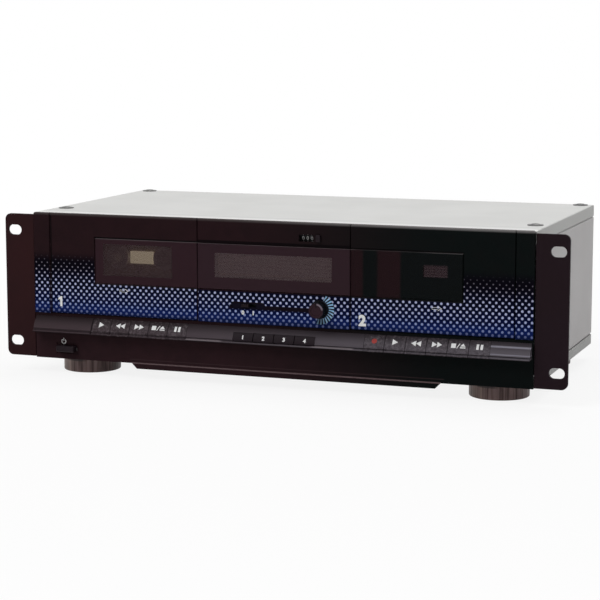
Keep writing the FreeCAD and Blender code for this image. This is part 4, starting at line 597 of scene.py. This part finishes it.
def ear_paint():
    """Satin black paint on the ears, warmer at the left end than at the right."""
    finish = Finish("ear_black", Specular_IOR_Level=0.06)
    right = rightwards(finish)
    satin = finish.mix(right, shade(43, 20, 22), shade(31, 20, 26))
    cloud = finish.step(finish.noise(60, 2), 0.3, 0.7)
    colour = finish.mix(cloud * 0.5, satin, shade(30, 17, 20))
    return finish.feed_grained(colour, finish.noise(0.8, 3), 0.42, 0.12, 0.05, 0.7)


def foot_plastic():
    """Taupe feet with upright streaks, a painted highlight on the left side of each, and a painted shadow
    under the apron.
    """
    finish = Finish("foot_taupe", Specular_IOR_Level=0.3)
    streak = finish.noise(4, 3, 0.6, (1, 1, 0.04))
    from_middle = finish.across - (finish.step(finish.across, -1, 1) * 2 - 1) * FEET_ACROSS
    # Painted highlight on the left part of each foot.
    sheen = finish.band(from_middle, -23, -7, 2)
    colour = finish.mix(finish.step(streak, 0.38, 0.62), shade(56, 34, 32), shade(118, 96, 94))
    light = finish.mix(finish.step(streak, 0.35, 0.65), shade(108, 86, 82), shade(168, 146, 138))
    colour = finish.mix(sheen * 0.9, colour, light)
    # Painted shadow under the apron.
    shadow = finish.band(finish.up, -4.4, 0, 0.4) * finish.band(from_middle, -13, 4, 4)
    colour = finish.mix(shadow * 0.8, colour, shade(28, 20, 22))
    return finish.feed_grained(colour, finish.noise(0.8, 2), 0.34, 0.2, 0.02, 0.4)


def knob_plastic():
    """Dark knob with turned rings on its face and a painted highlight on its rim."""
    finish = Finish("knob_black", Specular_IOR_Level=0.08)
    grain = finish.noise(0.6, 3)
    distance, angle = from_knob(finish)
    front = finish.step(finish.deep, KNOB_LOW.y + 1.0, KNOB_LOW.y + 0.6)
    rings = finish.step(finish.math("PINGPONG", distance, 0.8), 0.2, 0.6)
    face = finish.mix(rings * 0.6, shade(44, 22, 29), shade(28, 22, 28))
    colour = finish.mix(front, shade(13, 14, 17), finish.mix(grain * 0.4, face, shade(58, 40, 50)))
    # Painted highlight on the upper right of the face's rim.
    rim_highlight = finish.band(distance, 4.7, 6.0, 0.3)
    rim_highlight = rim_highlight * finish.band(angle, math.radians(12), math.radians(84), 0.2)
    colour = finish.mix(rim_highlight * front * 0.6, colour, shade(150, 140, 152))
    return finish.feed_grained(colour, grain, 0.34, 0.15, 0.03, 0.5)


def moulded_plastic(name, light, dark, roughness=0.42, specular=0.3, grain_size=0.6):
    """Moulded plastic with a fine grain and faint flow marks."""
    finish = Finish(name, Specular_IOR_Level=specular)
    grain = finish.noise(grain_size, 3)
    flow = finish.noise(12, 2, 0.5, (1, 1, 3))
    colour = finish.mix(flow, dark, light)
    colour = finish.mix(finish.step(grain, 0.6, 0.8) * 0.3, colour, light)
    return finish.feed_grained(colour, grain, roughness, 0.15, 0.03, 0.5)


def turned_metal(name, light, dark, roughness):
    """Plated or turned metal with fine marks along one way."""
    finish = Finish(name, Metallic=1.0)
    marks = finish.noise(2.5, 3, 0.6, (1, 1, 8))
    colour = finish.mix(finish.step(finish.noise(18, 3), 0.3, 0.75), dark, light)
    return finish.feed_grained(colour, marks, roughness, 0.12, 0.008, 0.5)


def chassis_zinc():
    """Yellow zinc plate, with a pale pad behind one reel window and a dark one behind the other; both pads
    glow as painted light.
    """
    finish = Finish("chassis_zinc", Emission_Strength=2.35)
    cloud = finish.noise(10, 3)
    zinc = finish.mix(finish.step(cloud, 0.3, 0.7), shade(150, 142, 118), shade(190, 180, 148))
    zinc = finish.mix(finish.step(finish.specks(7), 0.2, 0.5) * 0.3, zinc, shade(170, 166, 150))
    pad = finish.band(finish.math("ABSOLUTE", finish.across), PAD_INNER, PAD_OUTER)
    pad = pad * finish.band(finish.up, PAD_FOOT, PAD_TOP)
    pad = pad * finish.step(finish.deep, PAD_DEEP + 0.1, PAD_DEEP - 0.1)
    right = finish.step(finish.across, -1, 1)
    lines = finish.math("PINGPONG", finish.up, 1.1) / 1.1
    printed = finish.step(lines, 0.4, 0.7)
    pale = finish.mix(lines * 0.08, shade(206, 196, 166), shade(190, 178, 148))
    # Painted light: the pads glow, the right one dimmer.
    dull = finish.mix(printed, shade(60, 38, 42), shade(120, 84, 86))
    dull_glow = finish.mix(printed, shade(56, 42, 46), shade(92, 76, 82))
    glow = finish.mix(right, shade(196, 180, 152), dull_glow)
    return finish.feed(Base_Color=finish.mix(pad, zinc, finish.mix(right, pale, dull)),
                       Metallic=(1 - pad) * 0.9, Roughness=0.34 + 0.2 * cloud + pad * 0.2,
                       Emission_Color=finish.mix(pad, (0, 0, 0, 1), glow),
                       Normal=finish.bump(cloud, 0.02, 0.4))


def laminate(finish, weave):
    """Brown board with darker tracks under its lacquer."""
    tracks = finish.step(finish.noise(4, 1, 0.3), 0.48, 0.52)
    board = finish.mix(weave, shade(128, 96, 48), shade(146, 112, 60))
    return finish.mix(tracks * 0.5, board, shade(104, 84, 44))


def soldered_parts(finish):
    """Black and blue-grey cases of the parts on a board."""
    cloud = finish.step(finish.noise(24, 1), 0.45, 0.55)
    return finish.mix(cloud, shade(30, 30, 33), shade(44, 46, 52))


def main_laminate():
    """Main board; what stands off it is its parts."""
    finish = Finish("main_laminate", Specular_IOR_Level=0.4)
    weave = finish.noise(1.2, 3)
    parts = finish.step(finish.up, MAIN_BOARD_TOP, MAIN_BOARD_TOP + 0.2)
    colour = finish.mix(parts, laminate(finish, weave), soldered_parts(finish))
    return finish.feed_grained(colour, weave, 0.4, 0.2, 0.03, 0.5)


def front_laminate():
    """Front board; what stands off it is its parts and the level display with its unlit rows."""
    finish = Finish("front_laminate", Specular_IOR_Level=0.4)
    weave = finish.noise(1.2, 3)
    parts = finish.step(finish.deep, FRONT_BOARD_FACE, FRONT_BOARD_FACE - 0.2)
    display = finish.step(finish.deep, DISPLAY_FACE + 0.3, DISPLAY_FACE + 0.1)
    display = display * finish.band(finish.across, -DISPLAY_SIDE, DISPLAY_SIDE)
    rows = finish.step(finish.math("PINGPONG", finish.up, 1.5), 0.4, 1.1)
    rows = rows * finish.noise(9, 2, 0.5, (1, 1, 3))
    glass = finish.mix(rows, shade(80, 64, 62), shade(156, 134, 130))
    on_board = finish.mix(display, soldered_parts(finish), glass)
    colour = finish.mix(parts, laminate(finish, weave), on_board)
    return finish.feed_grained(colour, weave * (1 - display), 0.4, 0.2, 0.03, 0.5)


def jack_plating():
    """Nickel sleeves on black insulating plates."""
    finish = Finish("jack_plating", Specular_IOR_Level=0.4)
    plate = finish.step(finish.deep, JACK_FACE + 0.1, JACK_FACE - 0.1)
    marks = finish.noise(1.5, 3, 0.5, (1, 6, 1))
    colour = finish.mix(plate, shade(196, 196, 192), shade(24, 24, 26))
    colour = finish.mix(marks * 0.2, colour, shade(120, 120, 118))
    return finish.feed(Base_Color=colour, Metallic=1 - plate,
                       Roughness=0.2 + 0.2 * marks + plate * 0.25, Normal=finish.bump(marks, 0.01, 0.5))


def ink(name, colour, wear_and_shade):
    """Screen-printed ink, very slightly uneven."""
    finish = Finish(name, Specular_IOR_Level=0.2)
    cover = finish.noise(0.7, 3)
    colour = finish.mix(finish.step(cover, 0.62, 0.85) * 0.5, colour, wear_and_shade)
    return finish.feed_grained(colour, cover, 0.5, 0.15, 0.01, 0.4)


def lit_segment(name, colour, dim):
    """Segment of the level display behind smoked plastic, with a faint glow that is painted light."""
    finish = Finish(name, Emission_Strength=0.35, Specular_IOR_Level=0.3)
    grain = finish.noise(0.8, 2)
    shown = finish.mix(grain, dim, colour)
    return finish.feed(Base_Color=shown, Emission_Color=shown, Roughness=0.3 + 0.2 * grain)


def rubber(name, colour, roughness):
    """Dull rubber with dust in its surface."""
    finish = Finish(name, Specular_IOR_Level=0.25)
    dust = finish.noise(1.5, 4, 0.6)
    dusty = tuple(min(1.0, part * 2.2 + 0.004) for part in colour[:3]) + (1.0,)
    colour = finish.mix(finish.step(dust, 0.4, 0.8) * 0.5, colour, dusty)
    return finish.feed_grained(colour, dust, roughness, 0.15, 0.02, 0.4)


def coat(material, *names):
    """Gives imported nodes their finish."""
    for name in names:
        NODES[name].material_slots[0].material = material


def coat_fascia():
    """Finishes of the front: fascia, lenses, keys, buttons and knob."""
    coat(printed_fascia(), "front_panel", "door_front_a", "door_front_b")
    coat(key_charcoal(), *[name for name in NODES if name.startswith("key_")])
    coat(moulded_plastic("button_black", shade(36, 28, 33), shade(27, 20, 25), 0.4, 0.05, 0.5),
         *[name for name in NODES if name.startswith("push_button_")])
    # The lenses are one smoked plastic; their tints differ as painted reflection, brownish at the left and
    # middle, greenish dark at the right.
    coat(smoked_lens("lens_a", WINDOW_A, shade(47, 29, 35), shade(64, 50, 52)), "door_window_a")
    coat(smoked_lens("lens_b", WINDOW_B, shade(8, 12, 13), shade(24, 18, 19), [(65, 76), (88, 107)]),
         "door_window_b")
    coat(smoked_lens("lens_meter", WINDOW_METER, shade(48, 32, 38), shade(84, 70, 72)), "meter_window")
    coat(knob_plastic(), "level_knob")
    coat(moulded_plastic("button_dark", shade(38, 29, 33), shade(27, 20, 25), 0.34, 0.08),
         "mode_switch", "counter_reset", "power_button")


def coat_case():
    """Finishes of the ears, the cover, the panels, the feet and what the rear carries."""
    coat(ear_paint(), "rack_ear_left", "rack_ear_right")
    coat(cover_paint(), "top_cover")
    coat(side_paint(), "side_panel_left", "side_panel_right")
    coat(tray_paint(), "bottom_tray", "rear_panel")
    coat(turned_metal("screw_zinc", shade(120, 120, 118), shade(92, 92, 92), 0.42), "case_screws")
    coat(jack_plating(), "line_jacks")
    coat(foot_plastic(), "feet")


def coat_inside():
    """Finishes of the black mouldings, the boards and the two tape decks."""
    coat(moulded_plastic("black_moulding", shade(34, 33, 34), shade(24, 23, 25)),
         "cord_gland", "counter_frame", "well_panels", "cassette_holder_a", "cassette_holder_b",
         "motor_pulley_a", "motor_pulley_b")
    coat(main_laminate(), "main_board")
    coat(front_laminate(), "front_board")
    coat(moulded_plastic("wheel_black", shade(30, 29, 31), shade(22, 21, 23), 0.45), *WHEELS)
    coat(moulded_plastic("hub_white", shade(222, 220, 212), shade(208, 205, 196), 0.4),
         "supply_hub_a", "supply_hub_b", "takeup_hub_a", "takeup_hub_b")
    coat(chassis_zinc(), "deck_chassis")
    coat(turned_metal("plate_steel", shade(186, 186, 182), shade(146, 146, 144), 0.28),
         "head_plate_a", "head_plate_b")
    coat(turned_metal("wheel_brass", shade(200, 176, 112), shade(160, 136, 82), 0.26),
         "flywheel_a", "flywheel_b")
    coat(turned_metal("motor_can", shade(170, 170, 172), shade(130, 130, 134), 0.3), "drive_motors")
    coat(rubber("belt_rubber", shade(26, 25, 26), 0.5), "drive_belts")
    coat(rubber("roller_rubber", shade(38, 37, 38), 0.6), "pinch_roller_a", "pinch_roller_b")


def circle_through(first, second, third):
    """Centre and radius of the circle through three (deep, up) points."""
    ax, ay = first
    bx, by = second
    cx, cy = third
    turn = 2 * (ax * (by - cy) + bx * (cy - ay) + cx * (ay - by))
    a = ax * ax + ay * ay
    b = bx * bx + by * by
    c = cx * cx + cy * cy
    centre = ((a * (by - cy) + b * (cy - ay) + c * (ay - by)) / turn,
              (a * (cx - bx) + b * (ax - cx) + c * (bx - ax)) / turn)
    return centre, math.hypot(ax - centre[0], ay - centre[1])


def raise_faces(bm, height):
    """Turns flat faces into closed plates of that height."""
    bmesh.ops.recalc_face_normals(bm, faces=bm.faces[:])
    for face in bm.faces[:]:
        if face.normal.z > 0:
            face.normal_flip()
    made = bmesh.ops.extrude_face_region(bm, geom=bm.faces[:], use_keep_orig=True)
    moved = [part for part in made["geom"] if isinstance(part, bmesh.types.BMVert)]
    bmesh.ops.translate(bm, verts=moved, vec=(0, 0, height))
    bmesh.ops.recalc_face_normals(bm, faces=bm.faces[:])


def raised_outlines(outlines, height=INK):
    """Thin plates in the XY plane with these outlines, raised from 0 to height."""
    bm = bmesh.new()
    for outline in outlines:
        bm.faces.new([bm.verts.new((across, up, 0)) for across, up in outline])
    raise_faces(bm, height)
    return bm


def arc_points(radius, start, turn, count):
    """Points on an arc round the origin; start and turn are in degrees."""
    angles = [math.radians(start + turn * n / (count - 1)) for n in range(count)]
    return [(radius * math.cos(angle), radius * math.sin(angle)) for angle in angles]


def triangle(across, width, height, way=1):
    """Triangle that points along X, its middle at across."""
    return [(across - way * width / 2, -height / 2), (across + way * width / 2, 0),
            (across - way * width / 2, height / 2)]


def bar(across, width, foot, top):
    """Upright rectangle with its middle at across."""
    return [(across - width / 2, foot), (across + width / 2, foot),
            (across + width / 2, top), (across - width / 2, top)]


def glyph(text, size, weight=0.02):
    """A digit as a plate centred on the origin, its strokes widened by weight."""
    curve = bpy.data.curves.new("glyph", "FONT")
    curve.body = text
    curve.size = size
    curve.align_x = "CENTER"
    curve.align_y = "CENTER"
    curve.resolution_u = 4
    curve.offset = size * weight
    holder = bpy.data.objects.new("glyph", curve)
    bpy.context.scene.collection.objects.link(holder)
    bpy.context.view_layer.update()
    mesh = bpy.data.meshes.new_from_object(holder)
    bm = bmesh.new()
    bm.from_mesh(mesh)
    bpy.data.objects.remove(holder)
    bpy.data.curves.remove(curve)
    bpy.data.meshes.remove(mesh)
    bmesh.ops.remove_doubles(bm, verts=bm.verts[:], dist=1e-5)
    heights = [vert.co.y for vert in bm.verts]
    bmesh.ops.translate(bm, verts=bm.verts[:], vec=(0, -(max(heights) + min(heights)) / 2, 0))
    raise_faces(bm, INK)
    return bm


def slice_rows(bm, spacing):
    """Cuts a plate into rows, so that it can follow a curved surface."""
    heights = [vert.co.y for vert in bm.verts]
    row = min(heights) + spacing
    while row < max(heights):
        bmesh.ops.bisect_plane(bm, geom=bm.verts[:] + bm.edges[:] + bm.faces[:],
                               plane_co=(0, row, 0), plane_no=(0, 1, 0))
        row += spacing


def lay_on_face(bm, across, up, deep=FACE):
    """Stands a plate on a flat front, its top towards the front."""
    for vert in bm.verts:
        x, y, z = vert.co
        vert.co = place(across + x, deep - z, up + y)


def lay_on_curve(bm, across, centre, radius, middle, sink=0.02):
    """Bends a plate round a level axis; middle is the angle above the front at which its zero lies."""
    for vert in bm.verts:
        x, y, z = vert.co
        turn = middle + y / radius
        reach = radius + z - sink
        vert.co = place(across + x, centre[0] - reach * math.cos(turn), centre[1] + reach * math.sin(turn))


def lay_on_slope(bm, node, up):
    """Bends a plate onto the slope of a key or button, over the node's middle."""
    low, high = box(node)
    centre, radius = circle_through(SLOPE_BROW, SLOPE_MIDDLE, SLOPE_FOOT)
    slice_rows(bm, 0.7)
    lay_on_curve(bm, (low.x + high.x) / 2, centre, radius, math.asin((up - centre[1]) / radius))


def gather(whole, bm):
    """Adds a finished plate to a bmesh that holds several."""
    part = bpy.data.meshes.new("part")
    bm.to_mesh(part)
    bm.free()
    whole.from_mesh(part)
    bpy.data.meshes.remove(part)


def settle(name, bm, material, body):
    """Makes a finished piece of a bmesh and lets it ride on its body."""
    bmesh.ops.remove_doubles(bm, verts=bm.verts[:], dist=1e-7)
    mesh = bpy.data.meshes.new(name)
    bm.to_mesh(mesh)
    bm.free()
    mesh.materials.append(material)
    mesh.shade_flat()
    piece = bpy.data.objects.new(name, mesh)
    bpy.context.scene.collection.objects.link(piece)
    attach(piece, body)


def key_icons(white, red):
    """Transport signs on the sloped faces of the keys, and a round one on the recording key."""
    signs = {
        "play": [triangle(0.1, 4.5, 5.2)],
        "rewind": [triangle(-2.0, 4.0, 4.8, -1), triangle(2.1, 4.1, 4.8, -1)],
        "forward": [triangle(-2.1, 4.1, 4.8), triangle(2.0, 4.0, 4.8)],
        "stop": [bar(-3.9, 3.8, -1.9, 1.9), [(-1.4, -2.1), (-0.7, -2.1), (1.4, 2.1), (0.7, 2.1)],
                 bar(3.7, 4.4, -1.9, -1.0), [(1.5, -0.4), (5.9, -0.4), (3.7, 2.2)]],
        "pause": [bar(-1.65, 2.0, -2.3, 2.3), bar(1.65, 2.0, -2.3, 2.3)],
    }
    for deck in DECKS:
        for sign, outlines in signs.items():
            key = "key_%s_%s" % (sign, deck)
            bm = raised_outlines(outlines)
            lay_on_slope(bm, key, ICON_UP)
            settle("icon_%s_%s" % (sign, deck), bm, white, key)
    bm = raised_outlines([arc_points(2.2, 0, 345, 24)])
    lay_on_slope(bm, "key_record_b", ICON_UP)
    settle("icon_record_b", bm, red, "key_record_b")


def button_numbers(white):
    """Plain numbers 1 to 4 on the ledge buttons."""
    for number in range(1, 5):
        name = "push_button_%d" % number
        bm = glyph(str(number), BUTTON_NUMBER_SIZE, 0.05)
        lay_on_slope(bm, name, BUTTON_NUMBER_UP)
        settle("button_number_%d" % number, bm, white, name)


def number_wheels(white):
    """Digits 0 to 9 round each counter wheel."""
    for column, wheel in enumerate(WHEELS):
        low, high = box(wheel)
        middle = (low + high) / 2
        whole = bmesh.new()
        for digit in range(10):
            bm = glyph(str(digit), DIGIT_SIZE)
            slice_rows(bm, 0.6)
            lay_on_curve(bm, middle.x - DIGIT_SHIFT * column, (middle.y, middle.z), WHEEL_RADIUS,
                         DIGIT_TURN - 2 * math.pi * digit / 10)
            gather(whole, bm)
        settle(wheel.replace("counter", "digits"), whole, white, wheel)


def deck_numbers(white):
    """Plain numbers that tell the decks apart."""
    one = [(-0.9, -4.2), (1.1, -4.2), (1.1, 4.2), (-0.4, 4.2), (-2.5, 2.7), (-2.5, 1.0), (-0.9, 1.9)]
    plates = {"a": raised_outlines([one]), "b": glyph("2", DECK_NUMBER_SIZE, 0.055)}
    for deck, spot in DECK_NUMBER_SPOTS.items():
        lay_on_face(plates[deck], *spot)
        settle("deck_number_" + deck, plates[deck], white, "door_" + deck)


def tape_arrows(white):
    """Outline arrow under each window that shows which way the tape runs."""
    shaft = [(-4.0, -0.9), (0.8, -0.9), (0.8, -0.65), (-3.75, -0.65),
             (-3.75, 0.65), (0.8, 0.65), (0.8, 0.9), (-4.0, 0.9)]
    head = [(0.8, -1.8), (4.2, 0), (0.8, 1.8), (0.8, 1.35), (3.5, 0), (0.8, -1.35)]
    for deck, spot in ARROW_SPOTS.items():
        bm = raised_outlines([shaft, head])
        lay_on_face(bm, *spot)
        settle("tape_arrow_" + deck, bm, white, "door_" + deck)


def switch_marks(white):
    """0 and 1 under the slide switch."""
    for text, spot in SWITCH_MARK_SPOTS.items():
        bm = glyph(text, SWITCH_MARK_SIZE, 0.05)
        lay_on_face(bm, *spot)
        settle("switch_mark_" + text, bm, white, "case")


def power_sign(white):
    """Open ring with a bar, the common sign for power, over the power button."""
    ring = arc_points(2.2, 125, 290, 21) + arc_points(1.6, 125, 290, 21)[::-1]
    bm = raised_outlines([ring, bar(0, 0.6, 0.3, 2.9)])
    lay_on_face(bm, *POWER_SIGN_SPOT, deep=0.0)
    settle("power_sign", bm, white, "case")


def level_segments(pale):
    """Two rows of level segments on the display block behind the meter window."""
    outlines = []
    for row in SEGMENT_ROWS:
        for n in range(SEGMENT_COUNT):
            outlines.append(bar(SEGMENT_START + SEGMENT_PITCH * n, SEGMENT_WIDTH,
                                row - SEGMENT_HEIGHT / 2, row + SEGMENT_HEIGHT / 2))
        outlines.append(bar(0, SEGMENT_PITCH * SEGMENT_COUNT, row - 2.4, row - 2.1))
    bm = raised_outlines(outlines, SEGMENT_THICKNESS)
    lay_on_face(bm, 0, 0, DISPLAY_FACE)
    settle("level_segments", bm, pale, "case")


def jack_rings(rings):
    """Coloured ring round each line jack, white over red."""
    low, high = box("line_jacks")
    middle = (low + high) / 2
    for colour, up in JACK_UP.items():
        whole = bmesh.new()
        for across in (-JACK_ACROSS, JACK_ACROSS):
            bm = bmesh.new()
            for radius in (RING_RADIUS, RING_BORE):
                bmesh.ops.create_circle(bm, segments=40, radius=radius)
            bmesh.ops.bridge_loops(bm, edges=bm.edges[:])
            raise_faces(bm, RING_THICKNESS)
            for vert in bm.verts:
                x, y, z = vert.co
                vert.co = place(middle.x + across + x, JACK_FACE + z, middle.z + up + y)
            bmesh.ops.recalc_face_normals(bm, faces=bm.faces[:])
            gather(whole, bm)
        settle("jack_rings_" + colour, whole, rings[colour], "case")


def pale_floor():
    """Floor that shows near white and keeps the object's shadow."""
    bm = bmesh.new()
    bmesh.ops.create_grid(bm, x_segments=1, y_segments=1, size=60.0)
    mesh = bpy.data.meshes.new("floor")
    bm.to_mesh(mesh)
    bm.free()
    finish = Finish("floor_paper", Specular_IOR_Level=0.1)
    paper = finish.mix(finish.noise(3, 2), (0.86, 0.86, 0.86, 1), (0.9, 0.9, 0.9, 1))
    finish.feed(Base_Color=paper, Roughness=0.9)
    rays = finish.either(*[finish.node("ShaderNodeLightPath", {}, {}, kind)
                           for kind in ("Is Camera Ray", "Is Glossy Ray", "Is Transmission Ray")])
    away = finish.step(finish.length(finish.across, finish.deep), 250, 1000)
    white = finish.node("ShaderNodeEmission", {}, {"Color": (1, 1, 1, 1), "Strength": 1.0})
    both = finish.node("ShaderNodeMixShader", {}, {0: rays * blend(away, 0.86, 1.0),
                                                   1: Value(finish, finish.shader.outputs[0]), 2: white})
    finish.tree.links.new(both.socket, finish.output.inputs["Surface"])
    mesh.materials.append(finish.material)
    floor = bpy.data.objects.new("floor", mesh)
    bpy.context.scene.collection.objects.link(floor)


def white_world(fill):
    """White to the camera and in reflections, and an even fill for everything else."""
    world = bpy.data.worlds.new("studio")
    bpy.context.scene.world = world
    world.use_nodes = True
    tree = world.node_tree
    tree.nodes.clear()
    output = tree.nodes.new("ShaderNodeOutputWorld")
    background = tree.nodes.new("ShaderNodeBackground")
    background.inputs["Color"].default_value = (1, 1, 1, 1)
    paths = tree.nodes.new("ShaderNodeLightPath")
    seen = paths.outputs["Is Camera Ray"]
    for kind in ("Is Glossy Ray", "Is Transmission Ray"):
        either = tree.nodes.new("ShaderNodeMath")
        either.operation = "MAXIMUM"
        tree.links.new(seen, either.inputs[0])
        tree.links.new(paths.outputs[kind], either.inputs[1])
        seen = either.outputs[0]
    strength = tree.nodes.new("ShaderNodeMapRange")
    strength.inputs["To Min"].default_value = fill
    strength.inputs["To Max"].default_value = 1.0
    tree.links.new(seen, strength.inputs["Value"])
    tree.links.new(strength.outputs["Result"], background.inputs["Strength"])
    tree.links.new(background.outputs[0], output.inputs["Surface"])


def aim(thing, eye, target):
    """Puts a lamp or camera at eye and turns it to target."""
    thing.location = eye
    thing.rotation_euler = (Vector(target) - Vector(eye)).to_track_quat("-Z", "Y").to_euler()
    bpy.context.scene.collection.objects.link(thing)


def softbox(name, eye, target, size, power):
    """Large square lamp."""
    data = bpy.data.lights.new(name, "AREA")
    data.shape = "SQUARE"
    data.size = size
    data.energy = power
    aim(bpy.data.objects.new(name, data), eye, target)


def photo_camera(eye, target, lens):
    """Camera at the photograph's place, with a long lens."""
    data = bpy.data.cameras.new("camera")
    data.sensor_width = 36.0
    data.lens = lens
    camera = bpy.data.objects.new("camera", data)
    aim(camera, eye, target)
    bpy.context.scene.camera = camera


def build():
    """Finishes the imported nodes, adds the printed pieces, and sets floor, light and camera."""
    coat_fascia()
    coat_case()
    coat_inside()
    white = ink("white_ink", shade(232, 232, 232), shade(190, 190, 192))
    key_icons(white, ink("red_ink", shade(150, 52, 48), shade(96, 36, 36)))
    number_wheels(white)
    deck_numbers(white)
    tape_arrows(white)
    switch_marks(white)
    power_sign(white)
    button_numbers(white)
    level_segments(lit_segment("segment_pale", shade(92, 84, 80), shade(70, 62, 60)))
    jack_rings({"white": ink("ring_white", shade(214, 214, 208), shade(180, 180, 176)),
                "red": ink("ring_red", shade(150, 34, 30), shade(110, 26, 24))})
    pale_floor()
    white_world(fill=0.22)
    softbox("key_lamp", eye=(-1.2, -1.8, 2.2), target=(0, 0, 0.06), size=1.6, power=42)
    softbox("top_lamp", eye=(0.4, 0.5, 2.4), target=(0, 0, 0.1), size=1.8, power=30)
    photo_camera(eye=(0.5415, -1.55105, 0.2986), target=(0.0228, -0.11025, 0.0736), lens=115.8)
    bpy.context.scene.view_settings.view_transform = "Standard"


build()
